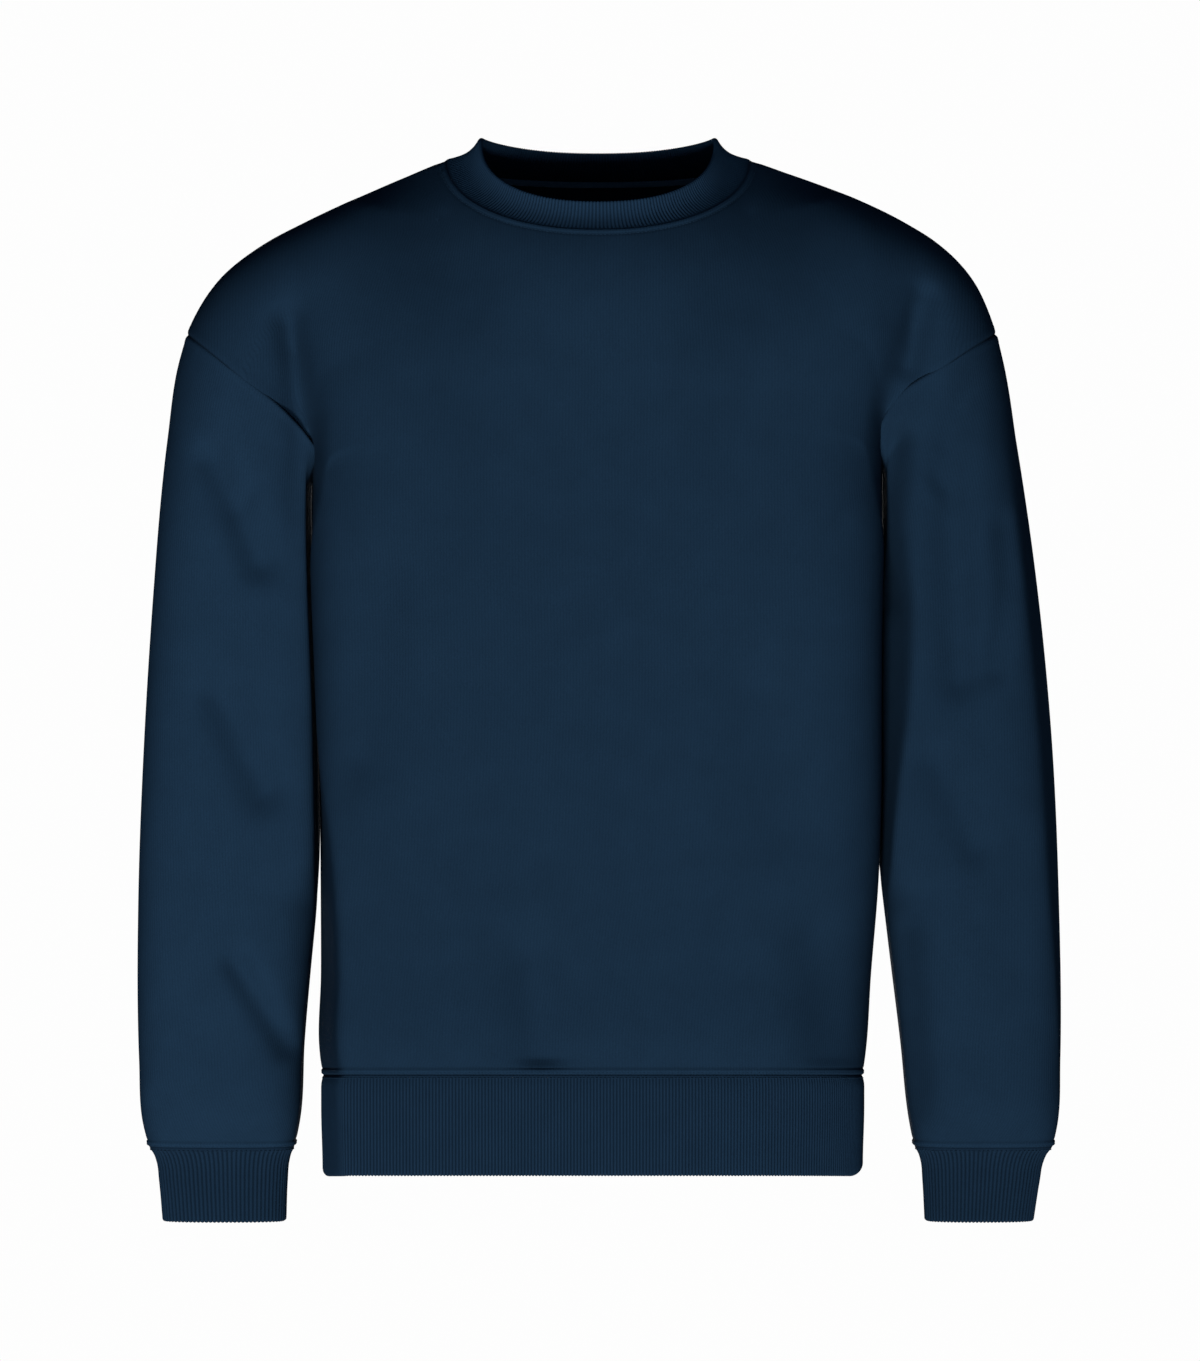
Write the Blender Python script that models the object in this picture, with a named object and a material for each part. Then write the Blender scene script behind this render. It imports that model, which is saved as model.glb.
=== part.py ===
"""Crewneck sweatshirt in its worn form: hollow, with neck, hem and both cuffs open.

Units are metres, +Z is up, -Y is the front and +X is the wearer's left. The origin is between the two high
shoulder points, where the shoulders carry the garment. Every piece is one wall of cloth that ends
SEAM_GAP short of its neighbours. The body's front and back and the two sleeves are grids of rows and
columns, whose edges meet along shared seams. The neckband, the hem band and the cuffs are rings with raised
ribs on a plain inside. In tables and names of functions, left is -X and right is +X, as a viewer in front of
the garment sees them; the objects are named for the wearer's side.
"""

from collections import namedtuple

import bpy
import numpy as np

# ---------------------------------------------------------------- driving dimensions
FLEECE_WALL = 0.0020
RIB_WALL = 0.0026
TAPE_WALL = 0.0008
TAPE_LIFT = 0.0007  # from the back panel's inside to the tape
SEAM_GAP = 0.0003
SLEEVE_CLEARANCE = 0.0008  # from the body's side to the sleeve that hangs beside it
CROTCH_CLEARANCE = 0.0003  # each wall's own step back where two walls turn against each other

HEM_SEAM = -0.6300
HEM_EDGE = -0.6997
HEM_TAPER = 0.985  # the lower edge's depth as a share of the seam's
HEM_SEAM_LIFT = 0.060  # rise of the front of the hem seam, for each metre that it stands forward
HEM_EDGE_LIFT = 0.076
HEM_CORNERS = {"left": 0.0040, "right": 0.0095}  # radius of the lower edge's corners in front view
CUFF_SEAM = -0.6785
CUFF_EDGE = -0.7300
SHOULDER_SEAM_END = -0.1194

BODY_SQUARENESS = 3.0  # exponent of the oval that spaces the points of a row
SLEEVE_SQUARENESS = {"left": 3.0, "right": 2.8}  # where a sleeve hangs free
PRESSED_SQUARENESS = 7.0  # of the inner half of a sleeve, where it presses on the body's side
PRESSED_UNTIL = -0.500  # height where the sleeves start to hang free
PRESSED_FADE = 0.050
UNDERARM_DIP = 0.020
DIP_ACROSS = (0.0, 0.8, 1.0, 0.9, 0.7, 0.45, 0.2, 0.05, 0.0)  # by column, from each side seam
DIP_ROWS = 1.7
UNION_SHARPNESS = 5.0  # how crisply the arm's round meets the chest
ARM_DEPTH = 0.074
WEB = 0.72  # depth of the cloth between arm and chest above the underarm, as a share of the arm's
SHOULDER_ROUND = {"left": 0.140, "right": 0.115}  # from the outline to where the body is at its full depth
NECK_ROUND = {"front": 0.160, "back": 0.100}
ROOF_START = 0.190  # from here inwards the round shoulder turns into a roof that falls from the neck
ROOF_FULL = 0.080

NECK_SEAM_HALF_WIDTH = 0.1045
NECK_SEAM_TOP = 0.0020
NECK_EDGE_HALF_WIDTH = 0.0820
NECK_EDGE_TOP = 0.0160
NECK_EDGE_SIDE_Y = -0.0030
NECK_SEAM_DROP = {"front": 0.055, "back": 0.007}
NECK_SEAM_REACH = {"front": -0.100, "back": 0.085}
NECK_EDGE_DROP = {"front": 0.052, "back": 0.006}
NECK_EDGE_REACH = {"front": -0.090, "back": 0.073}
NECK_SEAM_POWERS = (2.2, 2.0)  # how square the opening is, seen from above and from the front
NECK_EDGE_POWERS = {"front": (2.3, 2.4), "back": (2.3, 1.0)}
NECK_SPACING = 0.9  # below 1, more of the loop's dense points lie at its ends
NECK_HOLLOW = 0.0042  # how far the neckband's middle curves in
NECK_BLEND = 0.090
NECK_SHIFT_FADE = (0.75, 0.50, 0.25, 0.10, 0.0, 0.0, 0.0)  # over the shoulder's columns, away from the neck
NECK_RELAX_REACH = 0.075
UNDERARM_RELAX_REACH = 0.100
RELAX_STEPS = 12
RELAX_EASE = 1.5  # above 1, the cloth right beside a corner settles fully

AGREEMENT_SPAN = 0.5  # walls whose normals agree by this much share one direction at their seam
AGREEMENT_START = 0.2
SHARPEST_MITRE = -0.3  # cosine between two edges' pushes, beyond which a mitre grows no longer
RIB_HEIGHT = 0.0004
SEAM_ROW = 0  # the row of a band that follows its neighbour's straight chords
RibCount = namedtuple("RibCount", "per_segment inner_per_segment")
RIBS = {
    "neckband": RibCount(9, 3),
    "hem_band": RibCount(9, 3),
    "cuff_right": RibCount(4, 2),
    "cuff_left": RibCount(4, 2),
}

SHOULDER_COLUMNS = 6
NECK_COLUMNS = 14
LOWER_ROWS = 10
UPPER_ROWS = 10
SLEEVE_ROWS = 18
PINCH_SHARE = 0.03  # share of a panel's length over which it draws in to its rib
SLEEVE_BLEND_ROWS = 5
OUTLINE_OVERLAP = 0.02  # the sleeve's outer edge is read from this far above the shoulder seam's end
DENSE = 400  # samples along a curve before it is divided evenly
FIRST_FULL_ROW = 0.12  # share of a panel's length below the underarm at its third row
UPPER_ROW_CROWDING = 1.6  # above 1, rows lie closer together towards the shoulder
SHARP_EDGE = 40.0  # degrees

TAPE_COLUMNS_SKIPPED = 1
TAPE_SHARE = (0.04, 0.85)  # from the neck seam towards the back panel's next row

# Body sections: the left and right edges, and how far the front and back stand from the side seams.
BodySection = namedtuple("BodySection", "height left right front back")
BODY = (
    BodySection(-0.630, -0.1897, 0.1822, 0.1080, 0.1060),
    BodySection(-0.616, -0.1918, 0.1842, 0.1120, 0.1095),
    BodySection(-0.560, -0.1911, 0.1880, 0.1140, 0.1110),
    BodySection(-0.500, -0.1913, 0.1922, 0.1170, 0.1130),
    BodySection(-0.440, -0.1918, 0.1939, 0.1210, 0.1150),
    BodySection(-0.371, -0.1932, 0.1939, 0.1240, 0.1160),
    BodySection(-0.300, -0.1959, 0.1946, 0.1270, 0.1180),
    BodySection(-0.247, -0.1973, 0.1960, 0.1260, 0.1190),
    BodySection(-0.195, -0.1975, 0.1965, 0.1240, 0.1200),
    BodySection(-0.120, -0.2080, 0.2120, 0.1220, 0.1210),
    BodySection(-0.050, -0.2180, 0.2220, 0.1220, 0.1200),
    BodySection(0.030, -0.2250, 0.2240, 0.1220, 0.1180),
)

# Exponent of the body's oval section, which turns its corners more sharply where the sleeves press on
# them, and the width in front view of the straight strip that recedes from the front to each side seam.
Squareness = namedtuple("Squareness", "height left right left_strip right_strip")
SQUARENESS = (
    Squareness(-0.630, 10.0, 2.6, 0.0135, 0.001),
    Squareness(-0.560, 10.0, 3.0, 0.0135, 0.001),
    Squareness(-0.480, 8.0, 4.6, 0.0100, 0.001),
    Squareness(-0.400, 6.0, 5.4, 0.0030, 0.001),
    Squareness(-0.250, 5.0, 5.0, 0.001, 0.001),
    Squareness(-0.170, 4.2, 4.2, 0.002, 0.002),
    Squareness(-0.100, 3.6, 4.2, 0.002, 0.004),
    Squareness(0.030, 3.0, 3.0, 0.001, 0.001),
)
CORNER_SHARPNESS = 12.0  # of the corner between a section's front and its strip
TINY = 1e-9  # keeps a division from failing where both shares are 0

# Outline from the middle of the neck over the shoulder and down the sleeve's outer edge.
OutlinePoint = namedtuple("OutlinePoint", "height left right")
OUTLINE = (
    OutlinePoint(0.0220, -0.0001, 0.0001),
    OutlinePoint(0.0020, -0.1045, 0.1045),
    OutlinePoint(-0.0083, -0.1297, 0.1340),
    OutlinePoint(-0.0248, -0.1656, 0.1755),
    OutlinePoint(-0.0414, -0.2008, 0.2100),
    OutlinePoint(-0.0580, -0.2318, 0.2360),
    OutlinePoint(-0.0814, -0.2610, 0.2581),
    OutlinePoint(-0.1090, -0.2790, 0.2712),
    OutlinePoint(-0.1366, -0.2884, 0.2788),
    OutlinePoint(-0.1918, -0.2967, 0.2884),
    OutlinePoint(-0.2884, -0.3050, 0.3022),
    OutlinePoint(-0.3988, -0.3119, 0.3126),
    OutlinePoint(-0.5092, -0.3160, 0.3174),
    OutlinePoint(-0.6196, -0.3160, 0.3188),
    OutlinePoint(-0.6610, -0.3140, 0.3174),
    OutlinePoint(CUFF_SEAM, -0.3100, 0.3140),
)

# Armhole seam, as its front view shows it, from the underarm to the end of the shoulder seam.
ArmholePoint = namedtuple("ArmholePoint", "share left left_height right right_height")
ARMHOLE = (
    ArmholePoint(0.00, -0.1975, -0.2000, 0.1965, -0.1900),
    ArmholePoint(0.25, -0.2174, -0.1753, 0.2085, -0.1660),
    ArmholePoint(0.60, -0.2450, -0.1510, 0.2390, -0.1430),
    ArmholePoint(1.00, -0.2832, SHOULDER_SEAM_END, 0.2741, SHOULDER_SEAM_END),
)

# Sleeve sections: where the inner edge hangs free of the body, half the tube's depth and its middle's Y.
SleeveSection = namedtuple("SleeveSection", "height left_inner right_inner depth centre")
SLEEVE = (
    SleeveSection(-0.190, -0.1900, 0.1880, 0.0740, 0.000),
    SleeveSection(-0.240, -0.1900, 0.1880, 0.0730, -0.002),
    SleeveSection(-0.320, -0.1900, 0.1880, 0.0690, -0.005),
    SleeveSection(-0.400, -0.1900, 0.1890, 0.0640, -0.008),
    SleeveSection(-0.470, -0.1902, 0.1915, 0.0590, -0.010),
    SleeveSection(-0.510, -0.1932, 0.1965, 0.0560, -0.010),
    SleeveSection(-0.551, -0.1973, 0.2015, 0.0530, -0.009),
    SleeveSection(-0.606, -0.2022, 0.2084, 0.0480, -0.005),
    SleeveSection(-0.661, -0.2056, 0.2146, 0.0410, -0.001),
    SleeveSection(CUFF_SEAM, -0.2091, 0.2180, 0.0300, 0.000),
)

# Straight strips that recede from a sleeve's front half to its edges: their widths in front view.
StripSection = namedtuple("StripSection", "height left_inner left_outer right_inner right_outer")
SLEEVE_STRIPS = (
    StripSection(-0.190, 0.002, 0.002, 0.018, 0.008),
    StripSection(-0.250, 0.002, 0.002, 0.024, 0.012),
    StripSection(-0.340, 0.002, 0.002, 0.024, 0.015),
    StripSection(-0.420, 0.002, 0.002, 0.014, 0.015),
    StripSection(-0.500, 0.002, 0.002, 0.004, 0.013),
    StripSection(-0.606, 0.002, 0.002, 0.002, 0.006),
    StripSection(CUFF_SEAM, 0.002, 0.002, 0.002, 0.002),
)
NARROW_STRIPS = (0.02, 0.02)  # of the width, inner and outer, on a cuff and on a sleeve's back half

# Cuff sections below the seam.
CuffSection = namedtuple("CuffSection", "height left_outer left_inner right_outer right_inner depth")
CUFF = (
    CuffSection(-0.6890, -0.3043, -0.2132, 0.3071, 0.2229, 0.0255),
    CuffSection(CUFF_EDGE, -0.3001, -0.2153, 0.3002, 0.2256, 0.0230),
)

# Folds: a soft trough (or, with a negative depth, a ridge) along a path of (x, z) points in front view.
Fold = namedtuple("Fold", "piece face path width depth")
FOLDS = (
    # where the chest turns under the arms, across the armhole seams
    Fold("both", "front", ((-0.2100, -0.1150), (-0.2050, -0.1500), (-0.2020, -0.1780)), 0.010, 0.010),
    Fold("both", "front", ((0.2215, -0.0980), (0.2155, -0.1230), (0.2100, -0.1430)), 0.010, 0.007),
    Fold("both", "back", ((-0.2180, -0.1150), (-0.2080, -0.1560)), 0.016, 0.006),
    Fold("both", "back", ((0.2200, -0.1050), (0.2090, -0.1440)), 0.016, 0.006),
    # front of the body
    Fold("body", "front", ((-0.0950, -0.0900), (-0.0950, -0.1550)), 0.030, 0.0056),
    Fold("body", "front", ((0.0840, -0.1100), (0.0860, -0.1600)), 0.028, 0.0042),
    Fold("body", "front", ((-0.1420, -0.2884), (-0.1573, -0.4092)), 0.022, 0.0070),
    Fold("body", "front", ((0.1100, -0.3700), (0.1230, -0.4500)), 0.028, 0.0056),
    Fold("body", "front", ((-0.0450, -0.5450), (-0.0380, -0.6100)), 0.020, 0.0095),
    Fold("body", "front", ((0.1480, -0.5300), (0.1580, -0.6050)), 0.022, 0.0070),
    # back of the body
    Fold("body", "back", ((-0.1200, -0.1300), (-0.1000, -0.2300)), 0.028, 0.0070),
    Fold("body", "back", ((0.1250, -0.1400), (0.1080, -0.2500)), 0.026, 0.0070),
    Fold("body", "back", ((-0.1350, -0.4300), (-0.0850, -0.5700)), 0.026, 0.0084),
    Fold("body", "back", ((0.1400, -0.4600), (0.0950, -0.6000)), 0.026, 0.0084),
    Fold("body", "back", ((0.0100, -0.5300), (-0.0050, -0.6050)), 0.022, 0.0056),
    # wearer's right sleeve
    Fold("sleeve", "front", ((-0.2615, -0.2080), (-0.2415, -0.2480), (-0.2300, -0.2770)), 0.013, 0.0090),
    Fold("sleeve", "front", ((-0.2560, -0.3700), (-0.2270, -0.4320)), 0.015, 0.0090),
    Fold("sleeve", "front", ((-0.2470, -0.5500), (-0.2125, -0.6070)), 0.010, 0.0085),
    Fold("sleeve", "front", ((-0.2990, -0.6500), (-0.2850, -0.6620)), 0.012, 0.0070),
    Fold("sleeve", "back", ((-0.2900, -0.3900), (-0.2350, -0.4250)), 0.016, 0.0112),
    Fold("sleeve", "back", ((-0.2850, -0.4700), (-0.2300, -0.4950)), 0.016, 0.0098),
    Fold("sleeve", "back", ((-0.2400, -0.5700), (-0.2850, -0.6300)), 0.016, 0.0084),
    # wearer's left sleeve
    Fold("sleeve", "front", ((0.2570, -0.1350), (0.2390, -0.1950), (0.2460, -0.3550)), 0.015, 0.0080),
    Fold("sleeve", "front", ((0.2760, -0.2550), (0.2790, -0.2950), (0.2700, -0.3500)), 0.010, 0.0050),
    Fold("sleeve", "front", ((0.2000, -0.1950), (0.1950, -0.2400), (0.1930, -0.3000)), 0.012, 0.0140),
    Fold("sleeve", "front", ((0.2320, -0.4150), (0.2570, -0.4700)), 0.014, 0.0060),
    Fold("sleeve", "front", ((0.2100, -0.5300), (0.2190, -0.6500)), 0.011, 0.0070),
    Fold("sleeve", "front", ((0.2860, -0.4700), (0.2800, -0.5500)), 0.016, 0.0040),
    Fold("sleeve", "back", ((0.2880, -0.3750), (0.2380, -0.4150)), 0.016, 0.0112),
    Fold("sleeve", "back", ((0.2900, -0.4500), (0.2400, -0.4900)), 0.016, 0.0098),
    Fold("sleeve", "back", ((0.2450, -0.5600), (0.2850, -0.6250)), 0.016, 0.0084),
)
FOLD_FADE_IN = 0.030  # distance from the outline over which a fold reaches its depth

NAVY = (0.0098, 0.0275, 0.0513, 1.0)
NAVY_RIB = (0.0085, 0.0235, 0.0450, 1.0)
TAPE_BLUE = (0.1600, 0.3000, 0.4600, 1.0)
CLOTH_ROUGHNESS = 0.92

Piece = namedtuple("Piece", "name points closed wall")


# ---------------------------------------------------------------- curves and sections
def curve_through(keys, values, at):
    """Smooth curve through (key, value) rows: cubic pieces whose slopes are the mean of their neighbours'."""
    keys = np.asarray(keys, float)
    values = np.asarray(values, float)
    order = np.argsort(keys)
    keys = keys[order]
    values = values[order]
    slopes = np.gradient(values, keys)
    at = np.clip(at, keys[0], keys[-1])
    index = np.clip(np.searchsorted(keys, at) - 1, 0, len(keys) - 2)
    span = keys[index + 1] - keys[index]
    share = (at - keys[index]) / span
    rise = values[index + 1] - values[index]
    bend_in = slopes[index] * span - rise
    bend_out = rise - slopes[index + 1] * span
    line = values[index] + share * rise
    return line + share * (1 - share) * ((1 - share) * bend_in + share * bend_out)


def column(table, name):
    """One named column of a table, as an array."""
    return np.array([getattr(row, name) for row in table])


def table_at(table, name, height):
    """A table's column at any height."""
    return curve_through(column(table, "height"), column(table, name), height)


def smooth_step(value):
    """Rise from 0 to 1 that starts and ends level."""
    value = np.clip(value, 0.0, 1.0)
    return value * value * (3.0 - 2.0 * value)


def evenly_divided(points, segments):
    """Divide a dense path of points into equal lengths."""
    steps = np.linalg.norm(np.diff(points, axis=0), axis=1)
    lengths = np.concatenate(([0.0], np.cumsum(steps)))
    wanted = np.linspace(0.0, lengths[-1], segments + 1)
    return np.stack([np.interp(wanted, lengths, points[:, axis]) for axis in range(points.shape[1])], axis=1)


def joined_loop(front, back):
    """Closed loop from a front half and a back half that both run the same way."""
    return np.vstack([front, back[-2:0:-1]])


def outline_path(side):
    """Dense (x, z) path of the outline on one side, from the neck's middle to the sleeve's end."""
    x = column(OUTLINE, side)
    z = column(OUTLINE, "height")
    length = np.concatenate(([0.0], np.cumsum(np.hypot(np.diff(x), np.diff(z)))))
    dense = np.linspace(0.0, length[-1], DENSE)
    return np.stack([curve_through(length, x, dense), curve_through(length, z, dense)], axis=1)


def distance_to_path(x, z, path):
    """Shortest distance in front view from each point to a path of straight pieces."""
    path = np.asarray(path)
    start = path[:-1]
    step = path[1:] - start
    along_x = x[..., None] - start[:, 0]
    along_z = z[..., None] - start[:, 1]
    share = (along_x * step[:, 0] + along_z * step[:, 1]) / (step**2).sum(axis=1)
    share = np.clip(share, 0.0, 1.0)
    return np.hypot(along_x - share * step[:, 0], along_z - share * step[:, 1]).min(axis=-1)


def shoulder_profile(share, roof):
    """Rise from 0 to a level 1: a quarter circle where roof is 0, nearly a straight slope where it is 1."""
    share = np.clip(share, 0.0, 1.0)
    return (1.0 - (1.0 - share) ** 2) ** (0.5 + 0.45 * roof)


def armhole_path(side):
    """Dense (x, z) path of the armhole seam from the underarm to the end of the shoulder seam."""
    share = np.linspace(0.0, 1.0, DENSE)
    x = curve_through(column(ARMHOLE, "share"), column(ARMHOLE, side), share)
    z = curve_through(column(ARMHOLE, "share"), column(ARMHOLE, side + "_height"), share)
    return np.stack([x, z], axis=1)


def lesser(first, second):
    """The lesser of two shares, with a rounded corner where they cross."""
    total = (first**CORNER_SHARPNESS + second**CORNER_SHARPNESS) ** (1.0 / CORNER_SHARPNESS)
    return first * second / np.maximum(total, TINY)


def worn_depth(x, z, face, arms=1.0):
    """Distance from the side seams' plane to the cloth: the body's oval joined to the arm's round."""
    depth = np.zeros_like(x)
    for side, sign in (("left", -1.0), ("right", 1.0)):
        here = x * sign >= 0.0
        outline = outline_path(side)
        from_outline = distance_to_path(x, z, outline)
        roof = smooth_step((ROOF_START - np.abs(x)) / (ROOF_START - ROOF_FULL))
        rounding = SHOULDER_ROUND[side] + (NECK_ROUND[face] - SHOULDER_ROUND[side]) * roof
        shoulders = outline[outline[:, 1] > SHOULDER_SEAM_END]
        from_shoulders = distance_to_path(x, z, shoulders)
        edge = np.abs(table_at(BODY, side, z))
        across = np.clip(np.abs(x) / edge, 0.0, 1.0)
        power = table_at(SQUARENESS, side, z)
        oval = (1.0 - across**power) ** (1.0 / power)
        if face == "front":
            oval = lesser(oval, (1.0 - across) * edge / table_at(SQUARENESS, side + "_strip", z))
        body = table_at(BODY, face, z) * oval * shoulder_profile(from_shoulders / rounding, roof)
        underarm = armhole_path(side)[:1]
        arm_radius = distance_to_path(underarm[:, 0], underarm[:, 1], outline)[0] / 2.0
        inward = np.clip(from_outline / arm_radius, 0.0, 2.0)
        round_share = np.sqrt(np.clip(1.0 - (1.0 - inward) ** 2, 0.0, 1.0))
        web_share = np.where(inward > 1.0, WEB + (1.0 - WEB) * round_share, round_share)
        arm = ARM_DEPTH * web_share * (1.0 - roof) * arms
        joined = (body**UNION_SHARPNESS + arm**UNION_SHARPNESS) ** (1.0 / UNION_SHARPNESS)
        depth = np.where(here, joined, depth)
    return depth


def folded(points, face, pieces):
    """Press the listed pieces' folds into points of one face, towards the hollow."""
    sign = 1.0 if face == "front" else -1.0
    x, y, z = (points[..., axis] for axis in range(3))
    press = np.zeros_like(x)
    for fold in FOLDS:
        if fold.face == face and fold.piece in pieces:
            distance = distance_to_path(x, z, fold.path)
            press = press + fold.depth * np.exp(-((distance / fold.width) ** 2))
    moved = points.copy()
    moved[..., 1] = y + sign * press * smooth_step(np.abs(y) / FOLD_FADE_IN)
    return moved


def towards(face):
    """Direction of a face along Y: the front is at -Y."""
    return -1.0 if face == "front" else 1.0


# ---------------------------------------------------------------- seam lines
def armhole_half(side, face):
    """Armhole seam on one face, from the underarm to the shoulder, in equal steps."""
    path = armhole_path(side)
    y = towards(face) * worn_depth(path[:, 0], path[:, 1], face)
    y[0] = 0.0
    y[-1] = 0.0
    dense = np.stack([path[:, 0], y, path[:, 1]], axis=1)
    return folded(evenly_divided(dense, UPPER_ROWS), face, ("both",))


def shoulder_seam(side):
    """Shoulder seam from the armhole to the neck, in equal steps along the outline."""
    path = outline_path(side)
    part = path[(path[:, 1] > SHOULDER_SEAM_END) & (np.abs(path[:, 0]) > NECK_SEAM_HALF_WIDTH)]
    ends = armhole_path(side)[-1]
    neck = (np.sign(ends[0]) * NECK_SEAM_HALF_WIDTH, NECK_SEAM_TOP)
    path = np.vstack([[ends], part[::-1], [neck]])
    dense = np.stack([path[:, 0], np.zeros(len(path)), path[:, 1]], axis=1)
    return evenly_divided(dense, SHOULDER_COLUMNS)


def neck_loop_half(half_width, top, drop, side_y, reach, powers):
    """Half a neck opening from its left to its right end: an oval that drops and reaches out in Y."""
    angle = np.linspace(np.pi, 0.0, DENSE)
    x = half_width * np.sign(np.cos(angle)) * np.abs(np.cos(angle)) ** NECK_SPACING
    swell = np.clip(1.0 - np.abs(x / half_width) ** powers[0], 0.0, 1.0)
    dense = np.stack([x, side_y + reach * swell**0.5, top - drop * swell ** (1.0 / powers[1])], axis=1)
    return evenly_divided(dense, NECK_COLUMNS)


def neck_seam(face):
    """Seam of the neckband on one face, from left to right."""
    drop = NECK_SEAM_DROP[face]
    reach = NECK_SEAM_REACH[face]
    return neck_loop_half(NECK_SEAM_HALF_WIDTH, NECK_SEAM_TOP, drop, 0.0, reach, NECK_SEAM_POWERS)


def neck_edge(face):
    """Top edge of the neckband on one face, from left to right."""
    drop = NECK_EDGE_DROP[face]
    reach = NECK_EDGE_REACH[face]
    powers = NECK_EDGE_POWERS[face]
    return neck_loop_half(NECK_EDGE_HALF_WIDTH, NECK_EDGE_TOP, drop, NECK_EDGE_SIDE_Y, reach, powers)


# ---------------------------------------------------------------- panels
def body_row(heights, face):
    """One level row of a panel below the armholes, divided evenly from side seam to side seam."""
    columns = 2 * SHOULDER_COLUMNS + NECK_COLUMNS
    angle = np.linspace(0.0, np.pi, DENSE)
    swing = -np.cos(angle)
    across = np.sign(swing) * np.abs(swing) ** (2.0 / BODY_SQUARENESS)
    z = heights[0] + (heights[1] - heights[0]) * (across + 1.0) / 2.0
    left = table_at(BODY, "left", z)
    right = table_at(BODY, "right", z)
    x = np.where(across < 0.0, -across * left, across * right)
    y = towards(face) * worn_depth(x, z, face, arms=0.0)
    y[0] = 0.0
    y[-1] = 0.0
    return evenly_divided(np.stack([x, y, z], axis=1), columns)


def relaxed(grid, corners, reach):
    """Let the cloth round some corners settle between its edges, as a stretched membrane does."""
    gaps = np.linalg.norm(grid[:, :, None, :] - corners[None, None], axis=3).min(axis=2)
    ease = smooth_step(RELAX_EASE - RELAX_EASE * gaps / reach)[1:-1, 1:-1, None]
    for _ in range(RELAX_STEPS):
        mean = (grid[:-2, 1:-1] + grid[2:, 1:-1] + grid[1:-1, :-2] + grid[1:-1, 2:]) / 4.0
        grid[1:-1, 1:-1] += ease * (mean - grid[1:-1, 1:-1])
    return grid


def underarm_dip(row):
    """How far a row bends down beside each underarm, so that rows fan out between side seam and armhole."""
    columns = 2 * SHOULDER_COLUMNS + NECK_COLUMNS
    near = np.interp(np.arange(columns + 1), np.arange(len(DIP_ACROSS)), DIP_ACROSS)
    nearest = np.exp(-(((row - LOWER_ROWS) / DIP_ROWS) ** 2))
    return UNDERARM_DIP * nearest * (near + near[::-1])


def panel(face):
    """Front or back as rows of points from the hem seam to the shoulders and the neck."""
    columns = 2 * SHOULDER_COLUMNS + NECK_COLUMNS
    left = armhole_half("left", face)
    right = armhole_half("right", face)
    underarms = (left[0, 2], right[0, 2])
    shares = np.concatenate(([0.0, PINCH_SHARE], np.linspace(FIRST_FULL_ROW, 1.0, LOWER_ROWS - 1)))
    rows = [body_row([HEM_SEAM + share * (z - HEM_SEAM) for z in underarms], face) for share in shares]
    for row, share in zip(rows, shares):
        row[:, 2] += (1.0 - share) * HEM_SEAM_LIFT * np.maximum(-row[:, 1], 0.0)
    level = rows[-1].copy()
    for row in range(2, LOWER_ROWS + 1):
        rows[row][:, 2] -= underarm_dip(row)
    rows[-1][0] = left[0]
    rows[-1][-1] = right[0]
    middle = neck_seam(face)
    top = np.vstack([shoulder_seam("left"), middle[1:-1], shoulder_seam("right")[::-1]])
    depth_shift = top[:, 1] - towards(face) * worn_depth(top[:, 0], top[:, 2], face)
    for step, share in enumerate(NECK_SHIFT_FADE):
        depth_shift[SHOULDER_COLUMNS - step] = share * depth_shift[SHOULDER_COLUMNS + 1]
        depth_shift[columns - SHOULDER_COLUMNS + step] = share * depth_shift[columns - SHOULDER_COLUMNS - 1]
    u = np.linspace(0.0, 1.0, columns + 1)[:, None]
    for row in range(1, UPPER_ROWS + 1):
        v = 1.0 - (1.0 - row / UPPER_ROWS) ** UPPER_ROW_CROWDING
        flat = (1.0 - v) * level + v * top
        flat = flat + (1.0 - u) ** 3 * (left[row] - flat[0]) + u**3 * (right[row] - flat[-1])
        x = flat[:, 0]
        z = flat[:, 2] - underarm_dip(LOWER_ROWS + row)
        near_neck = smooth_step(1.0 - (top[:, 2] - z) / NECK_BLEND)
        y = towards(face) * worn_depth(x, z, face) + depth_shift * near_neck
        points = np.stack([x, y, z], axis=1)
        points[0] = left[row]
        points[-1] = right[row]
        rows.append(points)
    rows[-1] = top
    grid = np.array(rows)
    neck_corners = top[[SHOULDER_COLUMNS, SHOULDER_COLUMNS + NECK_COLUMNS]]
    grid = relaxed(grid, neck_corners, NECK_RELAX_REACH)
    grid = relaxed(grid, np.array([left[0], right[0]]), UNDERARM_RELAX_REACH)
    pressed = folded(grid, face, ("body", "both"))
    grid[1:-1, 1:-1] = pressed[1:-1, 1:-1]
    return grid


def armhole_ring(side):
    """Whole armhole: underarm, front, shoulder, back."""
    return joined_loop(armhole_half(side, "front"), armhole_half(side, "back"))


def squareness_at(side, height):
    """Exponents of the inner and the outer half of a sleeve's section."""
    free = SLEEVE_SQUARENESS[side]
    pressed = smooth_step((height - PRESSED_UNTIL) / PRESSED_FADE)
    return free + (PRESSED_SQUARENESS - free) * pressed, free


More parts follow.
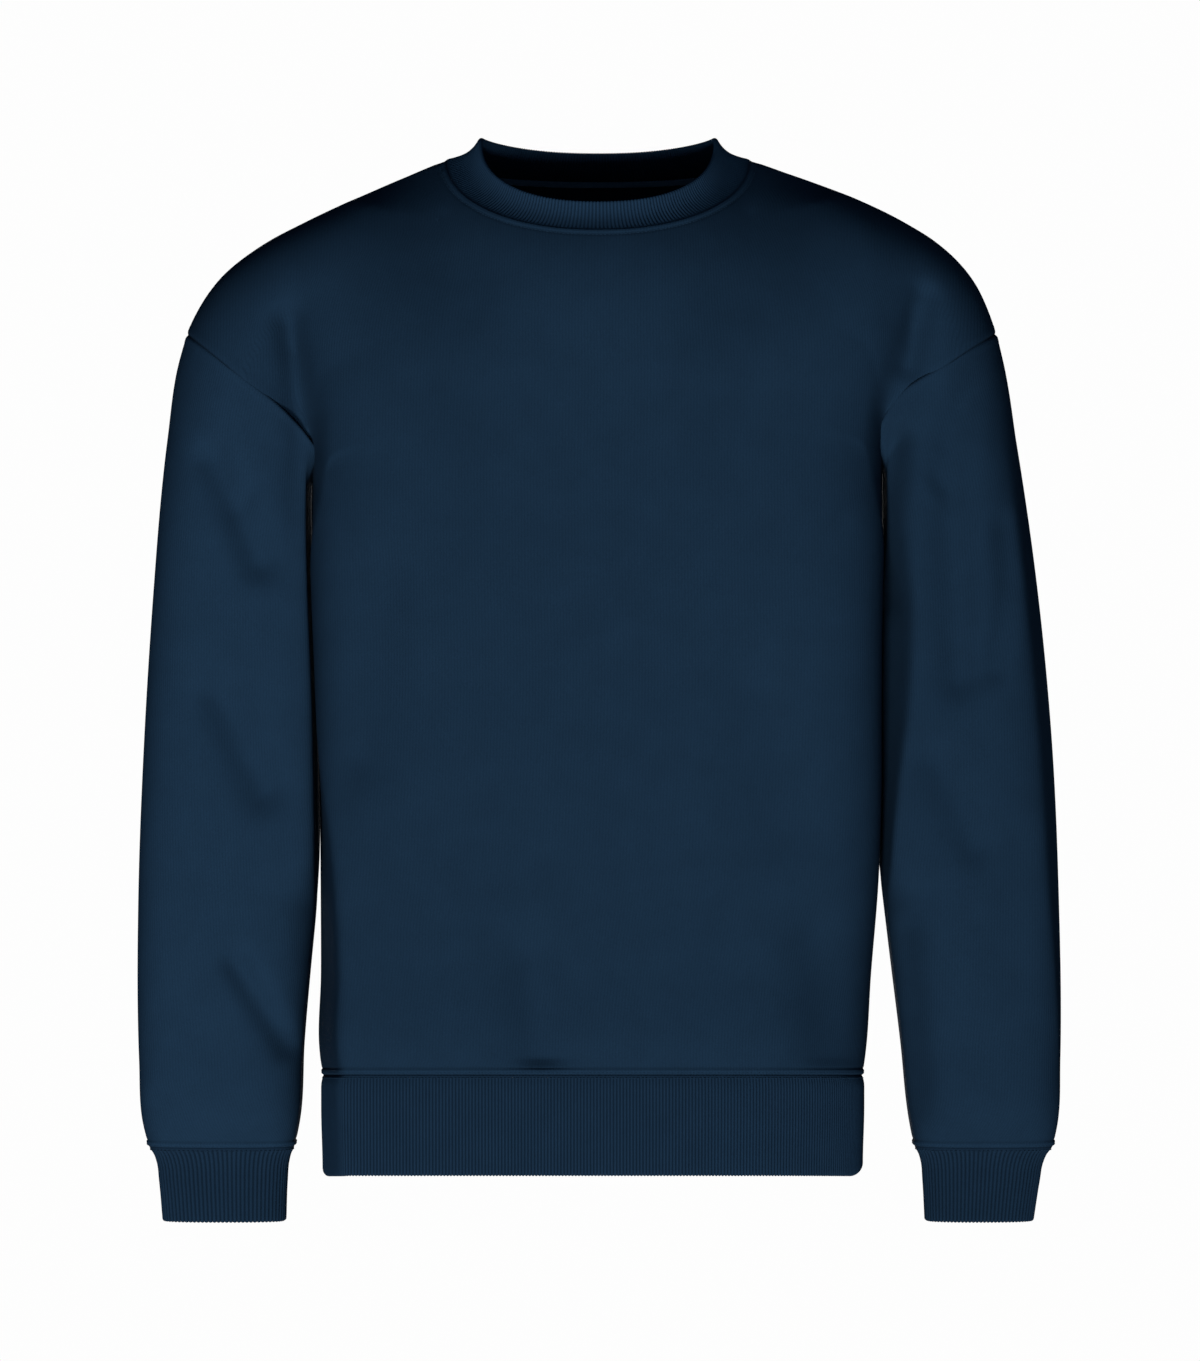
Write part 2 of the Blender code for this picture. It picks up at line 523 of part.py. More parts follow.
def tube_ring(outer, inner, depth, centre, squareness, strip_shares):
    """Ring of an oval tube between an inner and an outer (x, z) point, in the armhole's order.

    Shares of the front half's width, inner and outer, are straight strips that recede to its edges.
    """
    angle = np.linspace(0.0, np.pi, DENSE)
    swing = np.cos(angle)
    squareness = np.where(swing > 0.0, squareness[0], squareness[1])
    along = (1.0 - np.sign(swing) * np.abs(swing) ** (2.0 / squareness)) / 2.0
    bulge = np.clip(np.sin(angle), 0.0, 1.0) ** (2.0 / squareness)
    x = inner[0] + along * (outer[0] - inner[0])
    z = inner[1] + along * (outer[1] - inner[1])
    halves = []
    for turn, (inner_strip, outer_strip) in ((-1.0, strip_shares), (1.0, NARROW_STRIPS)):
        reach = depth * lesser(lesser(bulge, along / inner_strip), (1.0 - along) / outer_strip)
        half = np.stack([x, centre + turn * reach, z], axis=1)
        halves.append(evenly_divided(half, UPPER_ROWS))
    return joined_loop(*halves)


def sleeve_inner(side, height):
    """X of a sleeve's inner edge: the hanging sleeve's own, or just clear of the body's side."""
    body = table_at(BODY, side, height)
    own = table_at(SLEEVE, side + "_inner", height)
    if side == "left":
        return np.minimum(own, body - SLEEVE_CLEARANCE)
    return np.maximum(own, body + SLEEVE_CLEARANCE)


def beside_body(side, points, underarm_height):
    """X of sleeve points, kept clear of the body's side below the underarm."""
    limit = table_at(BODY, side, np.minimum(points[..., 2], underarm_height))
    if side == "left":
        return np.minimum(points[..., 0], limit - SLEEVE_CLEARANCE)
    return np.maximum(points[..., 0], limit + SLEEVE_CLEARANCE)


def sleeve(side):
    """Sleeve as rings from the armhole to the cuff seam, turning from the armhole's slope to level."""
    first = armhole_ring(side)
    underarm = first[0]
    shoulder = first[UPPER_ROWS]
    chord = np.array([shoulder[0] - underarm[0], shoulder[2] - underarm[2]])
    relative = np.stack([first[:, 0] - underarm[0], first[:, 2] - underarm[2]], axis=1)
    along = relative @ chord / (chord @ chord)
    aside = (relative[:, 1] * chord[0] - relative[:, 0] * chord[1]) / (chord @ chord)
    outline = outline_path(side)
    outline = outline[outline[:, 1] < SHOULDER_SEAM_END + OUTLINE_OVERLAP]
    rings = [first]
    shares = np.append(np.linspace(0.0, 1.0 - PINCH_SHARE, SLEEVE_ROWS), 1.0)
    for row in range(1, SLEEVE_ROWS + 1):
        share = shares[row]
        outer_z = SHOULDER_SEAM_END + share * (CUFF_SEAM - SHOULDER_SEAM_END)
        inner_z = underarm[2] + share * (CUFF_SEAM - underarm[2])
        outer = np.array([np.interp(-outer_z, -outline[:, 1], outline[:, 0]), outer_z])
        inner = np.array([sleeve_inner(side, inner_z), inner_z])
        middle_z = (outer_z + inner_z) / 2.0
        depth = table_at(SLEEVE, "depth", middle_z)
        centre = table_at(SLEEVE, "centre", middle_z)
        strips = [table_at(SLEEVE_STRIPS, side + edge, middle_z) for edge in ("_inner", "_outer")]
        strip_shares = np.array(strips) / abs(outer[0] - inner[0])
        tube = tube_ring(outer, inner, depth, centre, squareness_at(side, middle_z), strip_shares)
        span = outer - inner
        like_first = np.stack(
            [
                inner[0] + along * span[0] - aside * span[1],
                first[:, 1] + centre,
                inner[1] + along * span[1] + aside * span[0],
            ],
            axis=1,
        )
        blend = smooth_step(row / SLEEVE_BLEND_ROWS)
        rings.append((1.0 - blend) * like_first + blend * tube)
    grid = np.array(rings)
    grid[1:, :, 0] = beside_body(side, grid[1:], underarm[2])
    half = UPPER_ROWS
    pressed = grid.copy()
    pressed[:, : half + 1] = folded(grid[:, : half + 1], "front", ("sleeve", "both"))
    pressed[:, half + 1 :] = folded(grid[:, half + 1 :], "back", ("sleeve", "both"))
    fade = np.ones(SLEEVE_ROWS + 1)
    fade[0] = 0.0
    fade[-1] = 0.0
    fade[-2] = 0.5
    return grid + fade[:, None, None] * (pressed - grid)


# ---------------------------------------------------------------- bands
def neckband_rows():
    """Neckband as three loops: its seam, its hollow middle and its top edge."""
    seam = joined_loop(neck_seam("front"), neck_seam("back"))
    edge = joined_loop(neck_edge("front"), neck_edge("back"))
    middle = (seam + edge) / 2.0
    tangent = np.roll(middle, -1, axis=0) - np.roll(middle, 1, axis=0)
    outward = np.cross(edge - seam, tangent)
    outward = outward / np.linalg.norm(outward, axis=1)[:, None]
    if (outward * (middle - middle.mean(axis=0))).sum() < 0.0:
        outward = -outward
    return np.array([seam, middle - NECK_HOLLOW * outward, edge])


def hem_rows(front, back):
    """Hem band as two loops, its seam and its lower edge."""
    seam = joined_loop(front[0], back[0])
    edge = seam * np.array([1.0, HEM_TAPER, 1.0])
    edge[:, 2] = HEM_EDGE + HEM_EDGE_LIFT * np.maximum(-edge[:, 1], 0.0)
    for sign, radius in ((-1.0, HEM_CORNERS["left"]), (1.0, HEM_CORNERS["right"])):
        reach = sign * edge[:, 0]
        past = np.clip(1.0 - (reach.max() - reach) / radius, 0.0, 1.0)
        edge[:, 2] += radius * (1.0 - np.sqrt(1.0 - past**2))
    return np.array([seam, edge])


def cuff_rows(side, sleeve_grid):
    """Cuff as the sleeve's last ring and the cuff's own sections."""
    rows = [sleeve_grid[-1]]
    for section in CUFF:
        outer = (getattr(section, side + "_outer"), section.height)
        inner = (getattr(section, side + "_inner"), section.height)
        squareness = squareness_at(side, section.height)
        rows.append(tube_ring(outer, inner, section.depth, 0.0, squareness, NARROW_STRIPS))
    return np.array(rows)


# ---------------------------------------------------------------- walls
def grid_normals(points, closed):
    """Unit normals of a grid, from the two diagonals of the cells round each point."""
    rows, columns = points.shape[:2]
    if closed:
        padded = np.concatenate([points, points[:, :1]], axis=1)
    else:
        padded = points
    one = padded[1:, 1:] - padded[:-1, :-1]
    other = padded[1:, :-1] - padded[:-1, 1:]
    cells = np.cross(one, other)
    total = np.zeros((rows, padded.shape[1], 3))
    for down in (0, 1):
        for across in (0, 1):
            total[down : rows - 1 + down, across : padded.shape[1] - 1 + across] += cells
    if closed:
        total[:, 0] += total[:, -1]
        total = total[:, :columns]
    return total / np.linalg.norm(total, axis=2)[..., None]


def boundary_indices(rows, columns, closed):
    """Loops of (row, column) pairs round a grid's open edges."""
    if closed:
        return [[(0, c) for c in range(columns)], [(rows - 1, c) for c in range(columns)]]
    loop = [(0, c) for c in range(columns)]
    loop += [(r, columns - 1) for r in range(1, rows)]
    loop += [(rows - 1, c) for c in range(columns - 2, -1, -1)]
    loop += [(r, 0) for r in range(rows - 2, 0, -1)]
    return [loop]


def seam_key(point):
    """Key shared by points of different pieces that lie on one seam."""
    return tuple(np.round(point, 6))


def outward_signs(pieces, grids):
    """Make every grid's normals point away from the cloth's hollow."""
    normals = {}
    for piece in pieces:
        points = grids[piece.name]
        normal = grid_normals(points, piece.closed)
        if piece.closed:
            centre = points.mean(axis=1)[:, None, :]
            score = (normal * (points - centre)).sum()
        else:
            score = normal[..., 1].sum() * (-1.0 if "front" in piece.name else 1.0)
        normals[piece.name] = normal if score > 0.0 else -normal
    return normals


def shared_normals(pieces, grids):
    """Normals that neighbouring pieces share along seams, unless their walls turn against each other."""
    own = outward_signs(pieces, grids)
    meeting = {}
    for piece in pieces:
        points = grids[piece.name]
        rows, columns = points.shape[:2]
        for loop in boundary_indices(rows, columns, piece.closed):
            for index in loop:
                meeting.setdefault(seam_key(points[index]), []).append((piece.name, index))
    shared = {name: normal.copy() for name, normal in own.items()}
    facing = {name: np.ones(normal.shape[:2]) for name, normal in own.items()}
    for members in meeting.values():
        if len(members) < 2:
            continue
        directions = np.array([own[name][index] for name, index in members])
        agreement = directions @ directions.T
        weights = smooth_step(agreement / AGREEMENT_SPAN + AGREEMENT_START)
        mixed = weights @ directions
        for place, (name, index) in enumerate(members):
            shared[name][index] = mixed[place] / np.linalg.norm(mixed[place])
            facing[name][index] = agreement[place].min()
    return shared, facing


def trimmed(points, closed, normals, facing):
    """Draw a grid's open edges back by half the seam gap, square to each edge."""
    result = points.copy()
    rows, columns = points.shape[:2]
    half_gap = SEAM_GAP / 2.0
    for loop in boundary_indices(rows, columns, closed):
        count = len(loop)
        mitres = []
        vote = 0.0
        for place, index in enumerate(loop):
            before = points[loop[place - 1]]
            here = points[index]
            after = points[loop[(place + 1) % count]]
            inside_row = min(max(index[0], 1), rows - 2) if rows > 2 else rows - 1 - index[0]
            if closed:
                inside = points[inside_row, index[1]]
            else:
                inside = points[inside_row, min(max(index[1], 1), columns - 2)]
            normal = normals[index]
            pushes = [np.cross(normal, edge) for edge in (here - before, after - here)]
            pushes = [push / np.linalg.norm(push) for push in pushes]
            mitre = (pushes[0] + pushes[1]) / (1.0 + max(float(pushes[0] @ pushes[1]), SHARPEST_MITRE))
            mitres.append(mitre)
            vote += float(mitre @ (inside - here))
        for index, mitre in zip(loop, mitres):
            apart = CROTCH_CLEARANCE * (1.0 - float(facing[index])) / 2.0
            result[index] = points[index] + half_gap * np.sign(vote) * mitre - apart * normals[index]
    return result


# ---------------------------------------------------------------- meshes
def add_faces(faces, first, second, flip, falling=None):
    """Pairs of triangles between two rows of vertex numbers; `falling` chooses each pair's diagonal."""
    for place in range(len(first) - 1):
        a, b, c, d = first[place], first[place + 1], second[place + 1], second[place]
        if falling is not None and falling[place]:
            triangles = ((a, b, d), (b, c, d))
        else:
            triangles = ((a, b, c), (a, c, d))
        faces.extend(tri[::-1] if flip else tri for tri in triangles)


def shorter_diagonals(first, second):
    """For each cell between two rows of points, whether the second corner's diagonal is the shorter one."""
    rising = np.linalg.norm(second[1:] - first[:-1], axis=1)
    falling = np.linalg.norm(first[1:] - second[:-1], axis=1)
    return falling < rising


def fan_between(faces, fine, coarse, per_segment, flip):
    """Triangles between a finely divided closed loop and a coarse one, turning at a rib's low point."""
    half = 2 * (per_segment // 4)
    count = len(coarse)
    for segment in range(count):
        start = segment * per_segment
        following = (segment + 1) % count
        loop = [fine[(start + step) % len(fine)] for step in range(per_segment + 1)]
        triangles = [(loop[step], loop[step + 1], coarse[segment]) for step in range(half)]
        triangles.append((loop[half], coarse[following], coarse[segment]))
        triangles += [(loop[step], loop[step + 1], coarse[following]) for step in range(half, per_segment)]
        faces.extend(tri[::-1] if flip else tri for tri in triangles)


def make_object(name, vertices, faces, colour, parent):
    """Object with its own mesh and material, its faces turned outwards."""
    mesh = bpy.data.meshes.new(name)
    mesh.from_pydata([tuple(v) for v in vertices], [], [tuple(int(i) for i in f) for f in faces])
    mesh.validate()
    mesh.shade_smooth()
    mesh.set_sharp_from_angle(angle=np.radians(SHARP_EDGE))
    material = bpy.data.materials.new(name + "_cloth")
    material.use_nodes = True
    shader = material.node_tree.nodes["Principled BSDF"]
    shader.inputs["Base Color"].default_value = colour
    shader.inputs["Roughness"].default_value = CLOTH_ROUGHNESS
    shader.inputs["Metallic"].default_value = 0.0
    mesh.materials.append(material)
    thing = bpy.data.objects.new(name, mesh)
    thing.parent = parent
    bpy.context.scene.collection.objects.link(thing)
    return thing


def signed_volume(vertices, faces):
    """Volume inside a closed mesh, negative where its faces point inwards."""
    total = 0.0
    for face in faces:
        corners = [vertices[i] for i in face]
        for second, third in zip(corners[1:], corners[2:]):
            total += float(np.dot(corners[0], np.cross(second, third)))
    return total / 6.0


def turned_outwards(vertices, faces):
    """Faces in the order that points them outwards."""
    if signed_volume(vertices, faces) < 0.0:
        return [face[::-1] for face in faces]
    return faces


def wall_mesh(outer, inner, closed):
    """Closed mesh of a wall between an outer and an inner grid."""
    rows, columns = outer.shape[:2]
    vertices = np.vstack([outer.reshape(-1, 3), inner.reshape(-1, 3)])
    numbers = np.arange(rows * columns).reshape(rows, columns)
    behind = numbers + rows * columns
    if closed:
        numbers = np.concatenate([numbers, numbers[:, :1]], axis=1)
        behind = np.concatenate([behind, behind[:, :1]], axis=1)
    faces = []
    for row in range(rows - 1):
        falling = shorter_diagonals(vertices[numbers[row]], vertices[numbers[row + 1]])
        add_faces(faces, numbers[row], numbers[row + 1], False, falling)
        add_faces(faces, behind[row], behind[row + 1], True, falling)
    add_faces(faces, numbers[0], behind[0], True)
    add_faces(faces, numbers[-1], behind[-1], False)
    if not closed:
        add_faces(faces, numbers[:, 0], behind[:, 0], False)
        add_faces(faces, numbers[:, -1], behind[:, -1], True)
    return vertices, turned_outwards(vertices, faces)


def subdivided(ring, per_segment, smooth):
    """Closed ring divided into more columns, along its chords or along a smooth curve through its points."""
    share = np.arange(per_segment)[None, :, None] / per_segment
    here = ring[:, None, :]
    after = np.roll(ring, -1, axis=0)[:, None, :]
    line = here + share * (after - here)
    if not smooth:
        return line.reshape(-1, ring.shape[1])
    before = np.roll(ring, 1, axis=0)[:, None, :]
    beyond = np.roll(ring, -2, axis=0)[:, None, :]
    rise = after - here
    bend_in = (after - before) / 2.0 - rise
    bend_out = rise - (beyond - here) / 2.0
    curve = line + share * (1 - share) * ((1 - share) * bend_in + share * bend_out)
    return curve.reshape(-1, ring.shape[1])


def closed_row(numbers):
    """A closed ring's vertex numbers with the first repeated at the end."""
    return np.append(numbers, numbers[0])


def ribbed_mesh(outer, normals, inner, ribs):
    """Closed mesh of a ring whose outer wall has ribs from edge to edge and whose inside is plain."""
    per_segment = 2 * ribs.per_segment
    rows = len(outer)
    fine = []
    plain = []
    for row in range(rows):
        smooth = row != SEAM_ROW
        plain.append(subdivided(inner[row], ribs.inner_per_segment, smooth))
        base = subdivided(outer[row], per_segment, smooth)
        direction = subdivided(normals[row], per_segment, False)
        direction = direction / np.linalg.norm(direction, axis=1)[:, None]
        raised = np.where(np.arange(len(base)) % 2 == 0, -0.5, 0.5)[:, None] * RIB_HEIGHT
        fine.append(base + raised * direction)
    fine = np.array(fine)
    plain = np.array(plain)
    columns = fine.shape[1]
    coarse = plain.shape[1]
    vertices = np.vstack([fine.reshape(-1, 3), plain.reshape(-1, 3)])
    numbers = np.arange(rows * columns).reshape(rows, columns)
    behind = rows * columns + np.arange(rows * coarse).reshape(rows, coarse)
    faces = []
    for row in range(rows - 1):
        add_faces(faces, closed_row(numbers[row]), closed_row(numbers[row + 1]), False)
        add_faces(faces, closed_row(behind[row]), closed_row(behind[row + 1]), True)
    fan_between(faces, numbers[0], behind[0], columns // coarse, True)
    fan_between(faces, numbers[-1], behind[-1], columns // coarse, False)
    return vertices, turned_outwards(vertices, faces)


def tape_mesh(panel_inner, panel_normals):
    """Strip on the inside of the back panel, just under the neck seam, made from the panel's own points."""
    first = SHOULDER_COLUMNS + TAPE_COLUMNS_SKIPPED
    last = SHOULDER_COLUMNS + NECK_COLUMNS - TAPE_COLUMNS_SKIPPED + 1
    top = panel_inner[-1, first:last]
    below = panel_inner[-2, first:last]
    normal = panel_normals[-2, first:last]
    outer = np.array([top + share * (below - top) - TAPE_LIFT * normal for share in TAPE_SHARE])
    inner = outer - TAPE_WALL * normal[None]
    return wall_mesh(outer, inner, False)


def build():
    """Make the whole garment."""
    for thing in list(bpy.data.objects):
        bpy.data.objects.remove(thing, do_unlink=True)
    garment = bpy.data.objects.new("sweatshirt", None)
    bpy.context.scene.collection.objects.link(garment)

    front = panel("front")
    back = panel("back")
    right_sleeve = sleeve("left")
    left_sleeve = sleeve("right")
    pieces = (
        Piece("front_panel", front, False, FLEECE_WALL),
        Piece("back_panel", back, False, FLEECE_WALL),
        Piece("sleeve_right", right_sleeve, True, FLEECE_WALL),
        Piece("sleeve_left", left_sleeve, True, FLEECE_WALL),
        Piece("neckband", neckband_rows(), True, RIB_WALL),
        Piece("hem_band", hem_rows(front, back), True, RIB_WALL),
        Piece("cuff_right", cuff_rows("left", right_sleeve), True, RIB_WALL),
        Piece("cuff_left", cuff_rows("right", left_sleeve), True, RIB_WALL),
    )
    grids = {piece.name: piece.points for piece in pieces}
    normals, facing = shared_normals(pieces, grids)
    for piece in pieces:
        name = piece.name
        outer = trimmed(piece.points, piece.closed, normals[name], facing[name])
        inner = outer - piece.wall * normals[name]
        if name in RIBS:
            vertices, faces = ribbed_mesh(outer, normals[name], inner, RIBS[name])
            make_object(name, vertices, faces, NAVY_RIB, garment)
        else:
            vertices, faces = wall_mesh(outer, inner, piece.closed)
            make_object(name, vertices, faces, NAVY, garment)
        if name == "back_panel":
            vertices, faces = tape_mesh(inner, normals[name])
            make_object("back_neck_tape", vertices, faces, TAPE_BLUE, garment)


if __name__ == "__main__":
    build()
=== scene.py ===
"""Crewneck sweatshirt: fine cloth, ribs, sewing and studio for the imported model.

Metres throughout, +Z up, -Y the front. In names of tables and functions, left is -X and right is +X, as a
viewer in front of the garment sees them; pieces are named for the wearer's side. Every cloth piece is a grid
of points worked out from the same sizes as the solid that it stands for, with seams, folds and ribs on it.
"""

from collections import namedtuple
from functools import lru_cache

import bpy
import numpy as np
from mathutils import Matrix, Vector


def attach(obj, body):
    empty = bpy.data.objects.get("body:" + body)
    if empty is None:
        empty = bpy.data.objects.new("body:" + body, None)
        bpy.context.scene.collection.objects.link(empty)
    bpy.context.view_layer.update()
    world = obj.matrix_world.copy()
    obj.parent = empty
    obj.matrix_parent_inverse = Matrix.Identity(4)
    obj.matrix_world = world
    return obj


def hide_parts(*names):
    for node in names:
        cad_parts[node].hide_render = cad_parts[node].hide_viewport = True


bl_info = {
    "name": "Crewneck Sweatshirt",
    "version": (1, 0, 0),
    "blender": (4, 5, 0),
    "location": "View3D > Sidebar > Sweatshirt",
    "description": "Builds a worn crewneck sweatshirt in brushed fleece with ribbed bands",
    "category": "Object",
}

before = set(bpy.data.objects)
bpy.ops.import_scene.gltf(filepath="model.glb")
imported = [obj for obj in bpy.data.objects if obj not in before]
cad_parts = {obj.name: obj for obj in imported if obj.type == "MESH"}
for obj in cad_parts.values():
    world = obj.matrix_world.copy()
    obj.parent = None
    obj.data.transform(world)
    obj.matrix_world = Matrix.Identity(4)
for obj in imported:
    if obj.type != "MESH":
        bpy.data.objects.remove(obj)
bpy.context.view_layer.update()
BODY = "root"

# ---------------------------------------------------------------- sizes of the garment
HEM_SEAM = -0.6300
HEM_EDGE = -0.6997
HEM_TAPER = 0.985  # the lower edge's depth as a share of the seam's
HEM_SEAM_LIFT = 0.060  # rise of the front of the hem seam, for each metre that it stands forward
HEM_EDGE_LIFT = 0.076  # and of the band's lower edge
HEM_CORNERS = {"left": 0.0040, "right": 0.0095}  # radius of the lower edge's corners in front view
CUFF_SEAM = -0.6785
CUFF_EDGE = -0.7300
SHOULDER_SEAM_END = -0.1194
FLEECE_WALL = 0.0018
RIB_WALL = 0.0026
TAPE_WALL = 0.0007
TAPE_LIFT = 0.0006  # gap between the back's inside and the tape
SLEEVE_CLEARANCE = 0.0014  # gap between the body's side and a sleeve
CLEARANCE_SOFTNESS = 0.0010

BODY_SQUARENESS = 3.0  # exponent of the oval that spaces the points of a row
SLEEVE_SQUARENESS = {"left": 3.0, "right": 2.8}
PRESSED_SQUARENESS = 7.0  # of the inner half of a sleeve, where it presses on the body's side
PRESSED_UNTIL = -0.500  # height below which the sleeves hang free
PRESSED_FADE = 0.050  # and the distance above it over which they come to press fully
UNDERARM_DIP = 0.020
DIP_ACROSS = (0.0, 0.8, 1.0, 0.9, 0.7, 0.45, 0.2, 0.05, 0.0)  # by column, from a panel's edge
DIP_ROWS = 1.7
UNION_SHARPNESS = 5.0
ARM_DEPTH = 0.074
WEB = 0.72  # depth of the web between arm and chest, as a share of the arm's
SHOULDER_ROUND = {"left": 0.140, "right": 0.115}  # distance below the shoulder line to the full depth
NECK_ROUND = {"front": 0.160, "back": 0.100}  # and the same beside the neck, where the shoulders form a roof
ROOF_START = 0.190  # distance from the garment's middle where the roof starts
ROOF_FULL = 0.080  # and where it is full
SHOULDER_POWER = 0.5  # exponent of the rise below the shoulder line
ROOF_POWER = 0.45  # and what a full roof adds to it

NECK_SEAM_HALF_WIDTH = 0.1045
NECK_SEAM_TOP = 0.0020
NECK_EDGE_HALF_WIDTH = 0.0820
NECK_EDGE_TOP = 0.0176
NECK_EDGE_SIDE_Y = -0.0030
NECK_SEAM_DROP = {"front": 0.055, "back": 0.007}  # how far a loop's middle lies below its ends
NECK_SEAM_REACH = {"front": -0.100, "back": 0.085}  # and how far it stands out in Y
NECK_EDGE_DROP = {"front": 0.052, "back": 0.006}
NECK_EDGE_REACH = {"front": -0.090, "back": 0.073}
NECK_SEAM_POWERS = (2.2, 2.0)  # exponent of a loop's swell, and the root of it that its drop follows
NECK_EDGE_POWERS = {"front": (2.3, 2.4), "back": (2.3, 1.0)}
NECK_SPACING = 0.9  # exponent of the cosine that spaces a loop's dense points
NECK_HOLLOW = 0.0042  # how far the middle of the neckband is curved in
NECK_PEAK_REACH = 0.009  # the band's top edge is rounded over this distance from its peaks
NECK_TURN_REACH = 0.010  # and the band's direction is evened out over this one
NECK_BLEND = 0.090  # height over which a panel leaves the body's form to meet the neck seam
NECK_FADE_AT = (0, 1, 2, 3, 4, 5, 7)  # columns outwards from the first one inside the neck's corner
NECK_FADE = (1.0, 0.75, 0.50, 0.25, 0.10, 0.0, 0.0)  # share of the neck seam's pull that is left there
NECK_RELAX_REACH = 0.075
UNDERARM_RELAX_REACH = 0.100
RELAX_STEPS = 12
RELAX_EASE = 1.5  # above 1, the cloth right beside a corner settles fully
TINY = 1e-12  # keeps a division from failing where both its parts are 0

# A panel's pattern grid: columns from side to side, rows from the hem to the underarm and on to the shoulder.
SHOULDER_COLUMNS = 6
NECK_COLUMNS = 14
COLUMNS = 2 * SHOULDER_COLUMNS + NECK_COLUMNS
LOWER_ROWS = 10
UPPER_ROWS = 10
ROWS = LOWER_ROWS + UPPER_ROWS
SLEEVE_ROWS = 18
PINCH_SHARE = 0.03  # share of the whole way that the row next to the hem or the cuff lies from it
FIRST_FULL_ROW = 0.12  # and the row after it on a panel
UPPER_ROW_CROWDING = 1.6  # above 1, rows crowd towards the shoulders
SLEEVE_BLEND_ROWS = 5  # rows over which a sleeve turns from the armhole's shape to its own oval
SLEEVE_FADE_AT = (0, 1, SLEEVE_ROWS - 2, SLEEVE_ROWS - 1, SLEEVE_ROWS)  # folds fade out at a sleeve's ends
SLEEVE_FADE = (0.0, 1.0, 1.0, 0.5, 0.0)
DENSE = 1600  # points of a curve before it is read at shares of its length
OUTLINE_POINTS = 140
RING_POINTS = 240
BASE = 4  # points in a cell of the pattern grid while the cloth settles
FINE = 8  # points in a cell of the finished cloth
# Extra columns and rows beside the seams, in cells of the pattern grid.
SEAM_CROWDING = (0.02, 0.045, 0.07, 0.10, 0.16, 0.20)
HEM_CROWDING = (0.03, 0.06, 0.09, 0.17, 0.21, 0.29, 0.33, 0.42, 0.46)
ARMHOLE_CROWDING = (0.02, 0.045, 0.07, 0.10, 0.15, 0.19)
CUFF_CROWDING = (0.02, 0.04, 0.06, 0.09, 0.15, 0.18, 0.21, 0.30, 0.33, 0.36)
NEAR_ROWS = 70  # rows below a finished panel's top, and columns beside each edge, that the seams there shape
NEAR_COLUMNS = 90
SEAM_SHARES = np.linspace(0.0, 1.0, 90)  # where a seam line is read to measure the distance from it
OUTLINE_OVERLAP = 0.02  # the sleeve's outer edge is read from this far above the shoulder seam's end

BodySection = namedtuple("BodySection", "height left right front back")
BODY_SECTIONS = (
    BodySection(-0.630, -0.1897, 0.1822, 0.1080, 0.1060),
    BodySection(-0.616, -0.1918, 0.1842, 0.1120, 0.1095),
    BodySection(-0.560, -0.1911, 0.1880, 0.1140, 0.1110),
    BodySection(-0.500, -0.1913, 0.1922, 0.1170, 0.1130),
    BodySection(-0.440, -0.1918, 0.1939, 0.1210, 0.1150),
    BodySection(-0.371, -0.1932, 0.1939, 0.1240, 0.1160),
    BodySection(-0.300, -0.1959, 0.1946, 0.1270, 0.1180),
    BodySection(-0.247, -0.1973, 0.1960, 0.1260, 0.1190),
    BodySection(-0.195, -0.1975, 0.1965, 0.1240, 0.1200),
    BodySection(-0.120, -0.2080, 0.2120, 0.1220, 0.1210),
    BodySection(-0.050, -0.2180, 0.2220, 0.1220, 0.1200),
    BodySection(0.030, -0.2250, 0.2240, 0.1220, 0.1180),
)

# Exponent of the body's oval section, which turns its corners more sharply where the sleeves press on
# them, and the width in front view of the straight strip that recedes from the front to each side seam.
Squareness = namedtuple("Squareness", "height left right left_strip right_strip")
SQUARENESS = (
    Squareness(-0.630, 10.0, 2.6, 0.0165, 0.001),
    Squareness(-0.560, 10.0, 3.0, 0.0165, 0.001),
    Squareness(-0.480, 8.0, 4.6, 0.0125, 0.001),
    Squareness(-0.400, 6.0, 5.4, 0.0030, 0.001),
    Squareness(-0.250, 5.0, 5.0, 0.001, 0.001),
    Squareness(-0.170, 4.2, 4.2, 0.002, 0.002),
    Squareness(-0.100, 3.6, 4.2, 0.002, 0.004),
    Squareness(0.030, 3.0, 3.0, 0.001, 0.001),
)
CORNER_SHARPNESS = 12.0

OutlinePoint = namedtuple("OutlinePoint", "height left right")
OUTLINE = (
    OutlinePoint(0.0220, -0.0001, 0.0001),
    OutlinePoint(0.0020, -0.1045, 0.1045),
    OutlinePoint(-0.0083, -0.1297, 0.1340),
    OutlinePoint(-0.0248, -0.1656, 0.1755),
    OutlinePoint(-0.0414, -0.2008, 0.2100),
    OutlinePoint(-0.0580, -0.2318, 0.2360),
    OutlinePoint(-0.0814, -0.2610, 0.2581),
    OutlinePoint(-0.1090, -0.2790, 0.2712),
    OutlinePoint(-0.1366, -0.2884, 0.2788),
    OutlinePoint(-0.1918, -0.2967, 0.2884),
    OutlinePoint(-0.2884, -0.3050, 0.3022),
    OutlinePoint(-0.3988, -0.3119, 0.3126),
    OutlinePoint(-0.5092, -0.3160, 0.3174),
    OutlinePoint(-0.6196, -0.3160, 0.3188),
    OutlinePoint(-0.6610, -0.3140, 0.3174),
    OutlinePoint(CUFF_SEAM, -0.3100, 0.3140),
)

ArmholePoint = namedtuple("ArmholePoint", "share left left_height right right_height")
ARMHOLE = (
    ArmholePoint(0.00, -0.1975, -0.2000, 0.1965, -0.1900),
    ArmholePoint(0.25, -0.2174, -0.1753, 0.2085, -0.1660),
    ArmholePoint(0.60, -0.2450, -0.1510, 0.2390, -0.1430),
    ArmholePoint(1.00, -0.2832, SHOULDER_SEAM_END, 0.2741, SHOULDER_SEAM_END),
)

